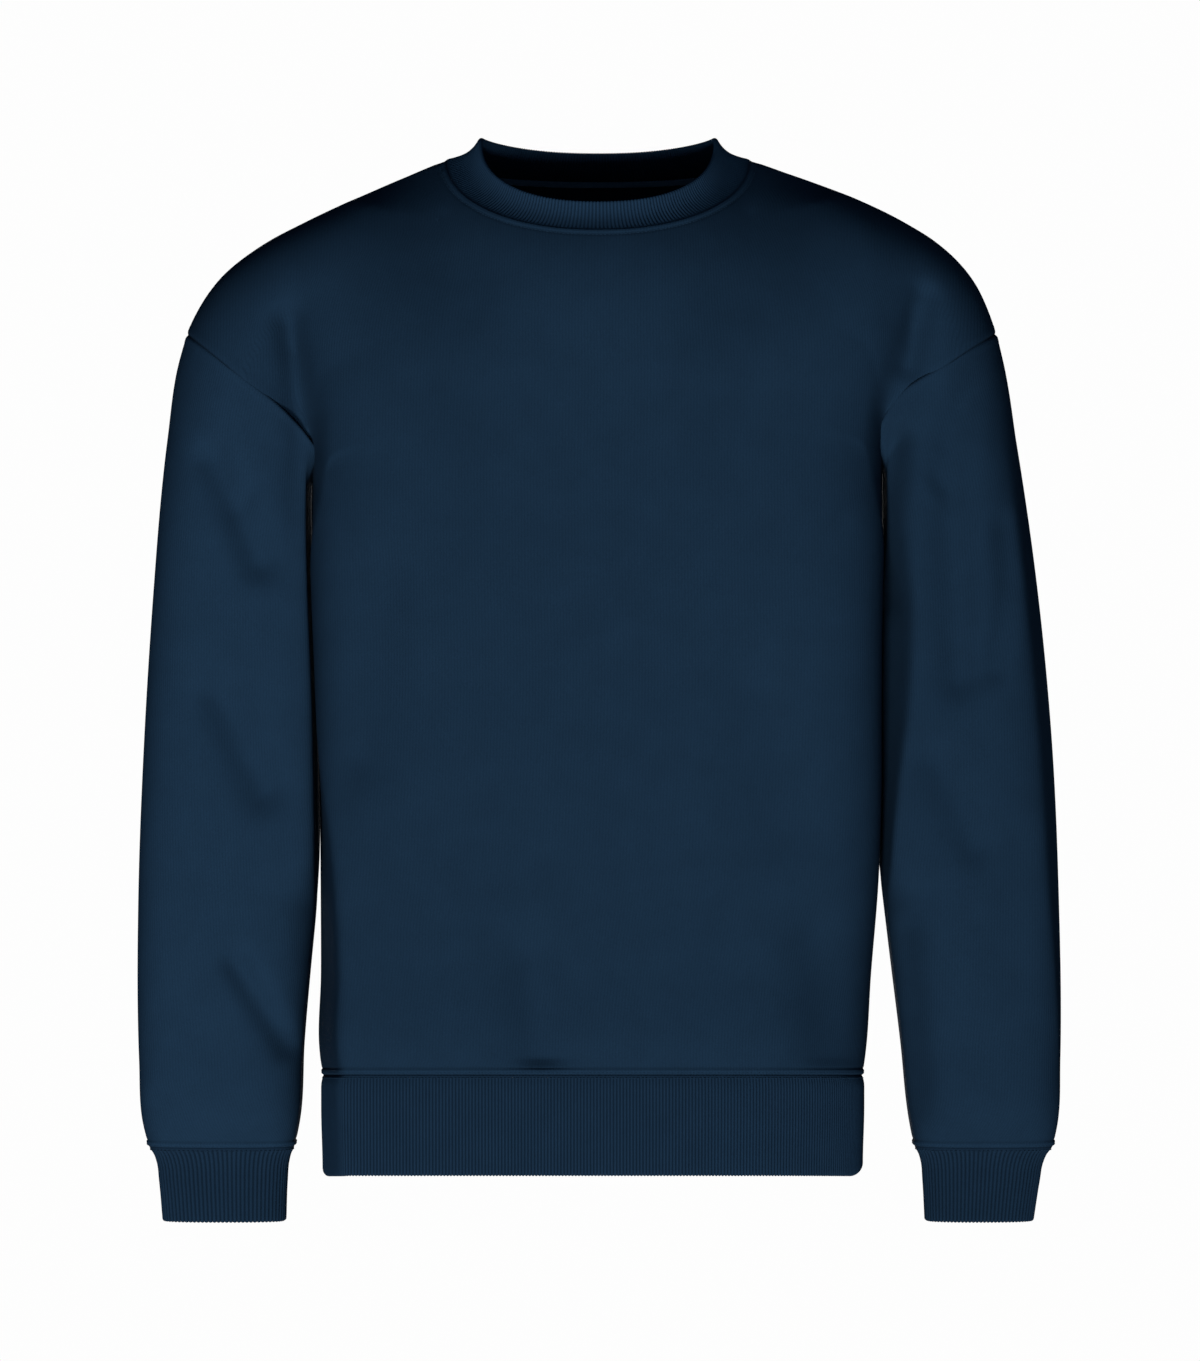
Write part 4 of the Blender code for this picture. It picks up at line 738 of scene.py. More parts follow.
def panel(face, strength):
    """Finished grid of a panel: the settled one read more finely, its edges set on the seams, then folded."""
    columns = panel_columns()
    rows = panel_rows()
    grid = resampled(resampled(settled_panel(face, strength), rows * BASE, 0), columns * BASE, 1)
    upper = rows >= LOWER_ROWS
    shares = (rows[upper] - LOWER_ROWS) / UPPER_ROWS
    grid[0] = hem_seam(face, columns / COLUMNS)
    grid[-1] = top_edge(face, columns)
    grid[upper, 0] = armhole_half("left", face, shares, strength)
    grid[upper, -1] = armhole_half("right", face, shares, strength)
    edge_free = np.minimum(np.minimum(rows, ROWS - rows)[:, None], np.minimum(columns, COLUMNS - columns))
    pressed = folded(grid, face, "body", strength)
    grid = grid + smooth_step(edge_free)[..., None] * (pressed - grid)
    grid[:, 1:-1] = folded(grid, face, "both", strength)[:, 1:-1]
    return grid


# ---------------------------------------------------------------- sleeves
def squareness_at(side, height):
    """Exponents of the inner and the outer half of a sleeve's section."""
    free = SLEEVE_SQUARENESS[side]
    pressed = smooth_step((height - PRESSED_UNTIL) / PRESSED_FADE)
    return free + (PRESSED_SQUARENESS - free) * pressed, free


def tube_ring(outer, inner, depth, centre, squareness, strip_shares, turn):
    """Ring of an oval tube between an inner and an outer (x, z) point; turn is 0 to 1, first over the front.

    The oval is |x|^n + |y|^n = 1, with one exponent for its inner half and one for its outer half. Shares
    of the front half's width, inner and outer, are straight strips that recede to its edges.
    """
    angle = np.linspace(0.0, np.pi, RING_POINTS)
    swing = np.cos(angle)
    squareness = np.where(swing > 0.0, squareness[0], squareness[1])
    along = (1.0 - np.sign(swing) * np.abs(swing) ** (2.0 / squareness)) / 2.0
    bulge = np.clip(np.sin(angle), 0.0, 1.0) ** (2.0 / squareness)
    x = inner[0] + along * (outer[0] - inner[0])
    z = inner[1] + along * (outer[1] - inner[1])
    halves = []
    for way, (inner_strip, outer_strip) in ((-1.0, strip_shares), (1.0, NARROW_STRIPS)):
        reach = depth * lesser(lesser(bulge, along / inner_strip), (1.0 - along) / outer_strip)
        halves.append(np.stack([x, centre + way * reach, z], axis=1))
    front = along_path(halves[0], 2.0 * turn[turn <= 0.5])
    back = along_path(halves[1], 2.0 * (1.0 - turn[turn > 0.5]))
    return np.vstack([front, back])


def softly_beyond(side, x, limit):
    """X kept on the outer side of a limit, with a soft turn: limit plus the log of 1 + exp(excess)."""
    sign = -1.0 if side == "left" else 1.0
    excess = sign * (x - limit) / CLEARANCE_SOFTNESS
    return limit + sign * CLEARANCE_SOFTNESS * np.logaddexp(0.0, excess)


def sleeve_rows():
    """Rows of a finished sleeve, crowded at both seams."""
    even = np.arange(SLEEVE_ROWS * FINE + 1) / FINE
    return np.unique(np.concatenate([even, ARMHOLE_CROWDING, SLEEVE_ROWS - np.array(CUFF_CROWDING)]))


def sleeve_turns():
    """Shares round a finished sleeve, from the underarm over the front, the shoulder and the back."""
    count = 2 * UPPER_ROWS * FINE
    even = np.arange(count) / count
    seam = np.array(SEAM_CROWDING) / (2 * UPPER_ROWS)
    return np.unique(np.concatenate([even, seam, 1.0 - seam]))


def sleeve(side, strength):
    """Sleeve from the armhole to the cuff seam, turning from the armhole's slope to level rings."""
    turns = sleeve_turns()
    front = turns <= 0.5
    halves = [armhole_half(side, "front", 2.0 * turns[front], strength)]
    halves.append(armhole_half(side, "back", 2.0 * (1.0 - turns[~front]), strength))
    first = np.vstack(halves)
    underarm = first[0]
    shoulder = armhole_path(side)[-1]
    chord = shoulder - underarm[[0, 2]]
    relative = front_view(first) - underarm[[0, 2]]
    along = relative @ chord / (chord @ chord)
    aside = (relative[:, 1] * chord[0] - relative[:, 0] * chord[1]) / (chord @ chord)
    outline = outline_path(side)
    outline = outline[outline[:, 1] < SHOULDER_SEAM_END + OUTLINE_OVERLAP]
    coarse = np.append(np.linspace(0.0, 1.0 - PINCH_SHARE, SLEEVE_ROWS), 1.0)
    rows = sleeve_rows()
    rings = []
    centres = []
    for row, share in zip(rows, np.interp(rows, np.arange(SLEEVE_ROWS + 1), coarse)):
        outer_z = SHOULDER_SEAM_END + share * (CUFF_SEAM - SHOULDER_SEAM_END)
        inner_z = underarm[2] + share * (CUFF_SEAM - underarm[2])
        outer = np.array([curve_through(-outline[:, 1], outline[:, 0], -outer_z), outer_z])
        inner = np.array([table_at(SLEEVE_SECTIONS, side + "_inner", inner_z), inner_z])
        middle_z = (outer_z + inner_z) / 2.0
        depth = table_at(SLEEVE_SECTIONS, "depth", middle_z)
        centre = table_at(SLEEVE_SECTIONS, "centre", middle_z)
        strips = [table_at(SLEEVE_STRIPS, side + edge, middle_z) for edge in ("_inner", "_outer")]
        strip_shares = np.array(strips) / abs(outer[0] - inner[0])
        tube = tube_ring(outer, inner, depth, centre, squareness_at(side, middle_z), strip_shares, turns)
        span = outer - inner
        like_first = np.stack(
            [
                inner[0] + along * span[0] - aside * span[1],
                first[:, 1] + centre,
                inner[1] + along * span[1] + aside * span[0],
            ],
            axis=1,
        )
        blend = smooth_step(row / SLEEVE_BLEND_ROWS)
        rings.append((1.0 - blend) * like_first + blend * tube)
        centres.append([centre])
    grid = np.array(rings)
    centres = np.array(centres)
    body_side = table_at(BODY_SECTIONS, side, np.minimum(grid[..., 2], underarm[2]))
    sign = -1.0 if side == "left" else 1.0
    clear = softly_beyond(side, grid[..., 0], body_side + sign * SLEEVE_CLEARANCE)
    near_armhole = smooth_step(rows)[:, None]
    grid[..., 0] = grid[..., 0] + near_armhole * (clear - grid[..., 0])
    pressed = grid.copy()
    for face, half in (("front", front), ("back", ~front)):
        part = folded(grid[:, half], face, "sleeve", strength, centres)
        pressed[:, half] = folded(part, face, "both", strength, centres)
    fade = np.interp(rows, SLEEVE_FADE_AT, SLEEVE_FADE)
    return grid + fade[:, None, None] * (pressed - grid)


# ---------------------------------------------------------------- relief of seams
def grid_normals(points, closed, outward):
    """Unit normals of a grid: its differences along both axes, crossed and turned to agree with outward."""
    if closed:
        across = np.roll(points, -1, axis=1) - np.roll(points, 1, axis=1)
    else:
        across = np.gradient(points, axis=1)
    along = np.gradient(points, axis=0)
    normals = unit(np.cross(across, along))
    if (normals * outward).sum() < 0.0:
        normals = -normals
    return normals


def seam_relief(distance, style):
    """Height of the cloth beside a seam: a groove, a ridge over the allowance and a pressed row of sewing."""
    groove = -style.groove * np.exp(-((distance / style.groove_width) ** 2))
    rise = smooth_step((distance - style.ridge_from) / RIDGE_SOFTNESS + 0.5)
    fall = smooth_step((style.ridge_to - distance) / RIDGE_SOFTNESS + 0.5)
    row = -style.row_depth * np.exp(-(((distance - style.row_at) / style.row_width) ** 2))
    return groove + style.ridge * rise * fall + row


def run_lengths(points, axis):
    """Length along one axis of a grid, from its first point."""
    steps = np.linalg.norm(np.diff(points, axis=axis), axis=-1)
    lengths = np.cumsum(steps, axis=axis)
    return np.insert(lengths, 0, 0.0, axis=axis)


def cloth_lengths(points, centre):
    """Pattern coordinates: level length out from a centre column, and length along each column without X."""
    flat = points * np.array([1.0, 1.0, 0.0])
    across = run_lengths(flat, 1)
    across = across - across[:, centre : centre + 1]
    upright = points * np.array([0.0, 1.0, 1.0])
    return np.stack([across, run_lengths(upright, 0)], axis=-1)


def panel_relief(points, face, strength):
    """Relief of all of a panel's seams, each by the distance from its own line."""
    relief = seam_relief(run_lengths(points, 0), TOPSTITCHED)
    top = slice(-NEAR_ROWS, None)
    upper = slice(LOWER_ROWS * FINE, None)
    relief[top] += seam_relief(path_position(points[top], neck_ring(SEAM_SHARES))[1], TOPSTITCHED)
    for side, part in (("left", slice(0, NEAR_COLUMNS)), ("right", slice(-NEAR_COLUMNS, None))):
        shoulder = shoulder_seam(side, SEAM_SHARES)
        relief[top, part] += seam_relief(path_position(points[top, part], shoulder)[1], PLAIN)
        edge = armhole_half(side, face, SEAM_SHARES, strength)
        relief[upper, part] += seam_relief(path_position(points[upper, part], edge)[1], PLAIN)
    lower = slice(0, LOWER_ROWS * FINE)
    lengths = run_lengths(points, 1)
    relief[lower] += seam_relief(lengths[lower], PLAIN)
    relief[lower] += seam_relief(lengths[lower, -1:] - lengths[lower], PLAIN)
    return relief


# ---------------------------------------------------------------- cloth of each piece
Cloth = namedtuple("Cloth", "points normals relief")


# Both grids are kept once they are made, because the tape and the topstitching read them again.
@lru_cache
def panel_cloth(face, folds, creases, seams):
    """Outer grid of a panel with its creases and seams."""
    points = panel(face, folds)
    normals = grid_normals(points, False, np.array([0.0, towards(face), 0.0]))
    up = run_lengths(points, 0)
    inside = smooth_step(up / CREASE_CLEAR) * smooth_step((up[-1] - up) / CREASE_CLEAR)
    press = inside * creased(points, face, "body", creases)
    points = points - press[..., None] * normals
    relief = seams * panel_relief(points, face, folds)
    return Cloth(points + relief[..., None] * normals, normals, relief)


@lru_cache
def sleeve_cloth(side, folds, creases, seams):
    """Outer grid of a sleeve with its creases and seams."""
    points = sleeve(side, folds)
    normals = grid_normals(points, True, points - points.mean(axis=1, keepdims=True))
    front = sleeve_turns() <= 0.5
    press = np.zeros(points.shape[:2])
    press[:, front] = creased(points[:, front], "front", "sleeve", creases)
    press[:, ~front] = creased(points[:, ~front], "back", "sleeve", creases)
    down = run_lengths(points, 0)
    up = down[-1] - down
    press = press * smooth_step(down / CREASE_CLEAR) * smooth_step(up / CREASE_CLEAR)
    points = points - press[..., None] * normals
    around = run_lengths(np.concatenate([points, points[:, :1]], axis=1), 1)
    beside_seam = np.minimum(around[:, :-1], around[:, -1:] - around[:, :-1])
    relief = seam_relief(down, PLAIN) + seam_relief(up, TOPSTITCHED) + seam_relief(beside_seam, PLAIN)
    relief = seams * relief
    return Cloth(points + relief[..., None] * normals, normals, relief)


def sleeve_pattern(points):
    """Pattern coordinates of a sleeve: length round it from the shoulder line, and length down it."""
    closed = np.concatenate([points, points[:, :1]], axis=1)
    around = run_lengths(closed, 1)
    shoulder = np.searchsorted(sleeve_turns(), 0.5)
    return np.stack([around - around[:, shoulder : shoulder + 1], run_lengths(closed, 0)], axis=-1)


Band = namedtuple("Band", "base normals down length")


def joined_loop(front, back):
    """Closed loop from a front half and a back half that both run from left to right."""
    return np.vstack([front[:-1], back[:0:-1]])


def band_of(rings, outward):
    """Base surface of a band from its even rings, seam first, with its normals and its height in metres."""
    normals = grid_normals(rings, True, outward)
    length = np.linalg.norm(np.diff(rings, axis=0), axis=2).sum(axis=0).mean()
    return Band(rings, normals, unit(np.gradient(rings, axis=0)), length)


def evened(loop, window):
    """Closed loop with each point moved, twice over, to the mean of the points in a window on both sides."""
    for _ in range(2):
        around = np.concatenate([loop[-window:], loop, loop[:window]], axis=0)
        total = np.cumsum(np.concatenate([np.zeros_like(around[:1]), around]), axis=0)
        loop = (total[2 * window + 1 :] - total[: -2 * window - 1]) / (2 * window + 1)
    return loop


def neckband(columns):
    """Neckband straight from its seam to its top edge, less its hollow times the parabola 4 t (1 - t)."""
    shares = np.linspace(0.0, 1.0, columns // 2 + 1)
    seam = joined_loop(neck_seam("front", shares), neck_seam("back", shares))
    edge = joined_loop(neck_edge("front", shares), neck_edge("back", shares))
    spacing = run_lengths(edge, 0)[-1] / columns
    edge = evened(edge, int(NECK_PEAK_REACH / spacing))
    tangent = np.roll(seam + edge, -1, axis=0) - np.roll(seam + edge, 1, axis=0)
    outward = np.cross(edge - seam, tangent)
    if (outward * (seam - seam.mean(axis=0))).sum() < 0.0:
        outward = -outward
    outward = unit(evened(unit(outward), int(NECK_TURN_REACH / spacing)))
    up = np.linspace(0.0, 1.0, BAND_RINGS)[:, None, None]
    rings = (1.0 - up) * seam + up * edge - 4.0 * up * (1.0 - up) * NECK_HOLLOW * outward
    band = band_of(rings, outward)
    even = [unit(evened(row, int(NECK_PEAK_REACH / spacing))) for row in band.normals]
    return band._replace(normals=np.array(even))


def hem_band(columns):
    """Hem band straight from its seam to its lower edge, whose two corners are quarter circles."""
    shares = np.linspace(0.0, 1.0, columns // 2 + 1)
    seam = joined_loop(hem_seam("front", shares), hem_seam("back", shares))
    edge = seam * np.array([1.0, HEM_TAPER, 1.0])
    edge[:, 2] = HEM_EDGE + HEM_EDGE_LIFT * np.maximum(-edge[:, 1], 0.0)
    for sign, radius in ((-1.0, HEM_CORNERS["left"]), (1.0, HEM_CORNERS["right"])):
        past = np.clip(1.0 - ((sign * edge[:, 0]).max() - sign * edge[:, 0]) / radius, 0.0, 1.0)
        edge[:, 2] += radius * (1.0 - np.sqrt(1.0 - past**2))
    down = np.linspace(0.0, 1.0, BAND_RINGS)[:, None, None]
    rings = (1.0 - down) * seam + down * edge
    return band_of(rings, rings - rings.mean(axis=1, keepdims=True))


def cuff(side, columns):
    """Cuff as rings through its sections, drawn in just under its seam."""
    turns = np.arange(columns) / columns
    rings = []
    for height in np.linspace(CUFF_SEAM, CUFF_EDGE, BAND_RINGS):
        outer = (table_at(CUFF_SECTIONS, side + "_outer", height), height)
        inner = (table_at(CUFF_SECTIONS, side + "_inner", height), height)
        depth = table_at(CUFF_SECTIONS, "depth", height)
        rings.append(tube_ring(outer, inner, depth, 0.0, squareness_at(side, height), NARROW_STRIPS, turns))
    rings = np.array(rings)
    return band_of(rings, rings - rings.mean(axis=1, keepdims=True))


Profile = namedtuple("Profile", "distance height turn ribs")


def band_profile(length, swell):
    """Profile of a folded band: down its outside, half a circle round its edge, and up its inside.

    Distance is from the seam, height over the base, turn the direction that is outwards there, from 0 on the
    outside to pi on the inside, and ribs the share of their full height.
    """
    radius = RIB_WALL / 2.0
    bend = np.linspace(0.0, np.pi, BAND_EDGE_ROWS + 2)[1:-1]
    straight = np.linspace(BAND_NEAR_SEAM[-1], length - radius, BAND_STRAIGHT_ROWS)[1:]
    outside = np.concatenate([BAND_NEAR_SEAM, straight])
    inside = np.linspace(length - radius, BAND_NEAR_SEAM[0], BAND_INSIDE_ROWS)
    tucked = -BAND_TUCK * np.exp(-((outside / BAND_TUCK_REACH) ** 2))
    fall = smooth_step(BAND_SWELL_FALL * (length - outside) / length)
    swollen = swell * smooth_step(outside / BAND_SWELL_REACH) * fall
    level = np.ones(len(inside))
    distance = np.concatenate([outside, length - radius + radius * np.sin(bend), inside])
    height = np.concatenate([tucked + swollen, radius * np.cos(bend) - radius, -RIB_WALL * level])
    turn = np.concatenate([np.zeros(len(outside)), bend, np.pi * level])
    beyond = np.full(len(bend) + len(inside), RIB_SHARE_INSIDE)
    ribs = np.concatenate([smooth_step(outside / RIB_RISE), beyond])
    return Profile(distance, height, turn, ribs)


def read_band(band, distance):
    """Points, normals and downward directions of a band's base at distances from its seam."""
    at = np.asarray(distance) / band.length * (BAND_RINGS - 1)
    normals = unit(resampled(band.normals, at, 0))
    down = unit(resampled(band.down, at, 0))
    return resampled(band.base, at, 0), normals, down


# ---------------------------------------------------------------- meshes
def grid_quads(numbers):
    """All the quads of a grid of numbers."""
    corners = [numbers[:-1, :-1], numbers[:-1, 1:], numbers[1:, 1:], numbers[1:, :-1]]
    return np.stack(corners, axis=-1).reshape(-1, 4)


def signed_volume(vertices, faces):
    """Volume inside a closed mesh of quads, negative where its faces point inwards.

    It is a sixth of the sum of a . (b x c) over its triangles, two for each quad.
    """
    a, b, c, d = (vertices[faces[:, corner]] for corner in range(4))
    return ((a * np.cross(b, c)).sum() + (a * np.cross(c, d)).sum()) / 6.0


def mesh_object(name, vertices, faces, material):
    """Object from quads, smooth shaded."""
    mesh = bpy.data.meshes.new(name)
    mesh.vertices.add(len(vertices))
    mesh.vertices.foreach_set("co", vertices.astype(np.float32).ravel())
    mesh.loops.add(faces.size)
    mesh.loops.foreach_set("vertex_index", faces.astype(np.int32).ravel())
    mesh.polygons.add(len(faces))
    mesh.polygons.foreach_set("loop_start", np.arange(0, faces.size, 4, dtype=np.int32))
    mesh.update(calc_edges=True)
    if mesh.validate():
        raise RuntimeError(name + " has faces that Blender won't take")
    mesh.shade_smooth()
    mesh.materials.append(material)
    thing = bpy.data.objects.new(name, mesh)
    bpy.context.scene.collection.objects.link(thing)
    return thing


def cloth_piece(name, loops, pattern, tone, ring, material):
    """Piece from loops of points that close along the first axis, and on a ring along the second too.

    The pattern coordinates have one more row than the points, and on a ring one more column, so that they
    run on past the place where the loops close. They become the UV map, and tone, the painted shading, a
    value at each point.
    """
    rows, columns = loops.shape[:2]
    numbers = np.arange(rows * columns).reshape(rows, columns)
    numbers = np.concatenate([numbers, numbers[:1]])
    if ring:
        numbers = np.concatenate([numbers, numbers[:, :1]], axis=1)
    corners = np.arange(numbers.size).reshape(numbers.shape)
    quads = [grid_quads(corners)]
    if not ring:
        half = rows // 2
        for edge, step in ((0, 1), (-1, -1)):
            sides = np.stack([corners[:half, edge], corners[half:rows, edge][::-1]], axis=1)[::step]
            quads.append(grid_quads(sides)[:, ::-1])
    quads = np.vstack(quads)
    vertices = loops.reshape(-1, 3)
    if signed_volume(vertices, numbers.ravel()[quads]) < 0.0:
        quads = quads[:, ::-1]
    piece = mesh_object(name, vertices, numbers.ravel()[quads], material)
    layer = piece.data.uv_layers.new(name=PATTERN)
    layer.data.foreach_set("uv", pattern.reshape(-1, 2)[quads.ravel()].astype(np.float32).ravel())
    shade = piece.data.attributes.new(PAINTED_SHADING, "FLOAT", "POINT")
    shade.data.foreach_set("value", tone.astype(np.float32).ravel())
    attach(piece, BODY)
    return piece


def painted_shading_of(relief):
    """Painted shading for cloth's relief, where 1 is plain: painted shade in grooves, painted light on
    ridges.
    """
    tone = 1.0 + GROOVE_PAINTED_SHADE * np.minimum(relief, 0.0) + RIDGE_PAINTED_LIGHT * np.maximum(relief, 0.0)
    return np.clip(tone, *PAINTED_SHADING_RANGE)


def shell_piece(name, cloth, pattern, ring, material):
    """Fleece piece from an outer grid and its copy one wall's thickness behind it."""
    inner = cloth.points - FLEECE_WALL * cloth.normals
    loops = np.concatenate([cloth.points, inner[::-1]])
    pattern = np.concatenate([pattern, pattern[::-1], pattern[:1]])
    # painted shading: the seams' painted shade and light on the outside, times the whole piece's painted
    # light or shade on both walls
    tone = np.concatenate([painted_shading_of(cloth.relief), np.ones(cloth.relief.shape)]) * PAINTED_PIECE_SHADING.get(name, 1.0)
    piece = cloth_piece(name + "_cloth", loops, pattern, tone, ring, material)
    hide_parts(name)
    return piece


def band_piece(name, band, swell, rib_height, material):
    """Ribbed piece on a band's base: each rib is the absolute value of a cosine across it."""
    profile = band_profile(band.length, swell)
    points, normals, down = read_band(band, profile.distance)
    columns = points.shape[1]
    across = np.arange(columns + 1) / SAMPLES_PER_RIB
    rib = np.abs(np.cos(np.pi * across[:-1])) - RIB_MIDDLE
    raised = rib_height * profile.ribs[:, None] * rib
    turn = profile.turn[:, None, None]
    outward = np.cos(turn) * normals + np.sin(turn) * down
    loops = points + profile.height[:, None, None] * normals + raised[..., None] * outward
    steps = np.linalg.norm(np.diff(loops, axis=0, append=loops[:1]), axis=2).mean(axis=1)
    pattern = np.stack(np.meshgrid(across, np.append(0.0, np.cumsum(steps))), axis=-1)
    # painted shading: painted shade in the tuck beside the seam and in the rib valleys, painted light on the
    # rib tops, times the whole piece's painted light or shade
    tucked = np.where(profile.turn == 0.0, np.minimum(profile.height, 0.0), 0.0)
    tone = painted_shading_of(tucked[:, None]) * (1.0 + RIB_PAINTED_SHADING * profile.ribs[:, None] * rib)
    tone = tone * PAINTED_PIECE_SHADING.get(name, 1.0)
    piece = cloth_piece(name + "_cloth", loops, pattern, tone, True, material)
    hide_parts(name)
    return piece


# ---------------------------------------------------------------- sewing
def level_line(values, distance, level):
    """Values where a distance first reaches a level, going along each column from its first row."""
    after = (distance >= level).argmax(axis=0)
    after = np.maximum(after, 1)
    columns = np.arange(distance.shape[1])
    near = distance[after - 1, columns]
    far = distance[after, columns]
    share = np.clip((level - near) / (far - near), 0.0, 1.0)[:, None]
    return (1.0 - share) * values[after - 1, columns] + share * values[after, columns]


def stitch_row(name, line, normals, style, material):
    """Row of stitches along a closed line: each a short thread whose ends dip into the cloth.

    A stitch's height over the cloth is its lift less the fourth power of the place along it times its dip.
    """
    loop = np.vstack([line, line[:1]])
    facing = np.vstack([normals, normals[:1]])
    lengths = run_lengths(loop, 0)
    count = int(lengths[-1] / style.pitch)
    middles = (np.arange(count) + 0.5) / count * lengths[-1]
    at = np.mod(middles[:, None] + 0.5 * style.length * STITCH_STATIONS, lengths[-1])
    centre = np.stack([np.interp(at, lengths, part) for part in loop.T], axis=-1)
    normal = unit(np.stack([np.interp(at, lengths, part) for part in facing.T], axis=-1))
    tangent = unit(centre[:, -1:] - centre[:, :1])
    aside = np.cross(tangent, normal)
    arch = style.lift - style.dip * STITCH_STATIONS[:, None] ** 4
    centre = centre + arch * normal
    corners = []
    for turn in np.arange(STITCH_SIDES) * 2.0 * np.pi / STITCH_SIDES:
        corners.append(centre + style.radius * (np.cos(turn) * normal + np.sin(turn) * aside))
    vertices = np.stack(corners, axis=2)
    numbers = np.arange(vertices.size // 3).reshape(vertices.shape[:3])
    beside = np.roll(numbers, -1, axis=2)
    sides = [numbers[:, :-1], numbers[:, 1:], beside[:, 1:], beside[:, :-1]]
    quads = np.vstack([np.stack(sides, axis=-1).reshape(-1, 4), numbers[:, 0], numbers[:, -1, ::-1]])
    vertices = vertices.reshape(-1, 3)
    if signed_volume(vertices, quads) < 0.0:
        quads = quads[:, ::-1]
    piece = mesh_object(name, vertices, quads, material)
    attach(piece, BODY)


# ---------------------------------------------------------------- materials
def node_group(name, inputs, outputs):
    """Shader node group with named sockets; an input is (name, kind, default)."""
    group = bpy.data.node_groups.new(name, "ShaderNodeTree")
    for title, kind, default in inputs:
        socket = group.interface.new_socket(title, in_out="INPUT", socket_type=kind)
        if default is not None:
            socket.default_value = default
    for title, kind in outputs:
        group.interface.new_socket(title, in_out="OUTPUT", socket_type=kind)
    return group, group.nodes.new("NodeGroupInput"), group.nodes.new("NodeGroupOutput")


def fed(tree, node, socket, source):
    """Give a node's socket a link from another socket, or a plain value."""
    if isinstance(source, bpy.types.NodeSocket):
        tree.links.new(source, node.inputs[socket])
    else:
        node.inputs[socket].default_value = source


def math_node(tree, operation, *sources):
    """Output of a math node on sockets or plain values."""
    node = tree.nodes.new("ShaderNodeMath")
    node.operation = operation
    for place, source in enumerate(sources):
        fed(tree, node, place, source)
    return node.outputs["Value"]


def noise_node(tree, vector, scale, detail):
    """Noise from 0 to 1 at a place."""
    node = tree.nodes.new("ShaderNodeTexNoise")
    node.inputs["Scale"].default_value = scale
    node.inputs["Detail"].default_value = detail
    tree.links.new(vector, node.inputs["Vector"])
    return node.outputs["Fac"]


def scaled_node(tree, vector, scale):
    """A vector with each part scaled."""
    node = tree.nodes.new("ShaderNodeVectorMath")
    node.operation = "MULTIPLY"
    fed(tree, node, 0, vector)
    fed(tree, node, 1, scale)
    return node.outputs["Vector"]


def stripe_node(tree, place, pitch):
    """Distance from the middle of a stripe, 0 in its middle and 1 at its edges."""
    turns = math_node(tree, "FRACT", math_node(tree, "DIVIDE", place, pitch))
    return math_node(tree, "ABSOLUTE", math_node(tree, "MULTIPLY_ADD", turns, 2.0, -1.0))


def wale_group():
    """Height of a plain knit: round wales down the cloth, each a column of V-shaped stitches."""
    inputs = (
        ("Pattern", "NodeSocketVector", None),
        ("Wale pitch", "NodeSocketFloat", 0.0021),
        ("Course pitch", "NodeSocketFloat", 0.0016),
    )
    group, given, wanted = node_group("Knit wales", inputs, (("Height", "NodeSocketFloat"),))
    parts = group.nodes.new("ShaderNodeSeparateXYZ")
    group.links.new(given.outputs["Pattern"], parts.inputs["Vector"])
    across = stripe_node(group, parts.outputs["X"], given.outputs["Wale pitch"])
    wale = math_node(group, "SUBTRACT", 1.0, math_node(group, "MULTIPLY", across, across))
    course = math_node(group, "DIVIDE", parts.outputs["Y"], given.outputs["Course pitch"])
    slanted = math_node(group, "MULTIPLY_ADD", across, STITCH_SLOPE, course)
    wave = math_node(group, "SINE", math_node(group, "MULTIPLY", slanted, 2.0 * np.pi))
    legs = math_node(group, "MULTIPLY_ADD", wave, STITCH_WAVE, 1.0 - STITCH_WAVE)
    group.links.new(math_node(group, "MULTIPLY", wale, legs), wanted.inputs["Height"])


def tone_group():
    """Colour of worn cotton: a base colour with the stitches' painted shade, the painted shading of seams,
    ribs and whole pieces, a soft mottle and fine fibres on it.
    """
    inputs = (
        ("Base", "NodeSocketColor", (0.01, 0.03, 0.05, 1.0)),
        ("Height", "NodeSocketFloat", 0.5),
        # painted shade in the gutters between wales and between ribs, and painted light on their tops
        ("Stitch contrast", "NodeSocketFloat", 0.2),
        ("Mottle", "NodeSocketFloat", 0.1),
        ("Fibres", "NodeSocketFloat", 0.1),
        # Seams carries the painted shading: painted shade in grooves and rib valleys, painted light on ridges
        # and rib tops, and each piece's painted light or shade
        ("Seams", "NodeSocketFloat", 1.0),
        ("Place", "NodeSocketVector", None),
    )
    group, given, wanted = node_group("Cotton tone", inputs, (("Color", "NodeSocketColor"),))
    sources = (
        ("Stitch contrast", given.outputs["Height"]),
        ("Mottle", noise_node(group, given.outputs["Place"], MOTTLE_SCALE, MOTTLE_DETAIL)),
        ("Fibres", noise_node(group, given.outputs["Place"], FIBRE_SCALE, FIBRE_DETAIL)),
    )
    total = given.outputs["Seams"]
    for strength, source in sources:
        centred = math_node(group, "SUBTRACT", source, 0.5)
        factor = math_node(group, "MULTIPLY_ADD", centred, given.outputs[strength], 1.0)
        total = math_node(group, "MULTIPLY", total, factor)
    group.links.new(scaled_node(group, given.outputs["Base"], total), wanted.inputs["Color"])


def group_node(tree, group, **sources):
    """Use of a node group, its sockets named in lower case with underscores."""
    node = tree.nodes.new("ShaderNodeGroup")
    node.node_tree = group
    for name, source in sources.items():
        fed(tree, node, name.replace("_", " ").capitalize(), source)
    return node


def new_material(name, roughness, sheen):
    """Material with a plain dielectric cloth shader. Returns it with its tree and shader."""
    material = bpy.data.materials.new(name)
    material.use_nodes = True
    tree = material.node_tree
    shader = tree.nodes["Principled BSDF"]
    shader.inputs["Roughness"].default_value = roughness
    shader.inputs["Specular IOR Level"].default_value = CLOTH_SPECULAR
    shader.inputs["Sheen Weight"].default_value = sheen
    shader.inputs["Sheen Roughness"].default_value = SHEEN_ROUGHNESS
    shader.inputs["Sheen Tint"].default_value = SHEEN_TINT
    return material, tree, shader


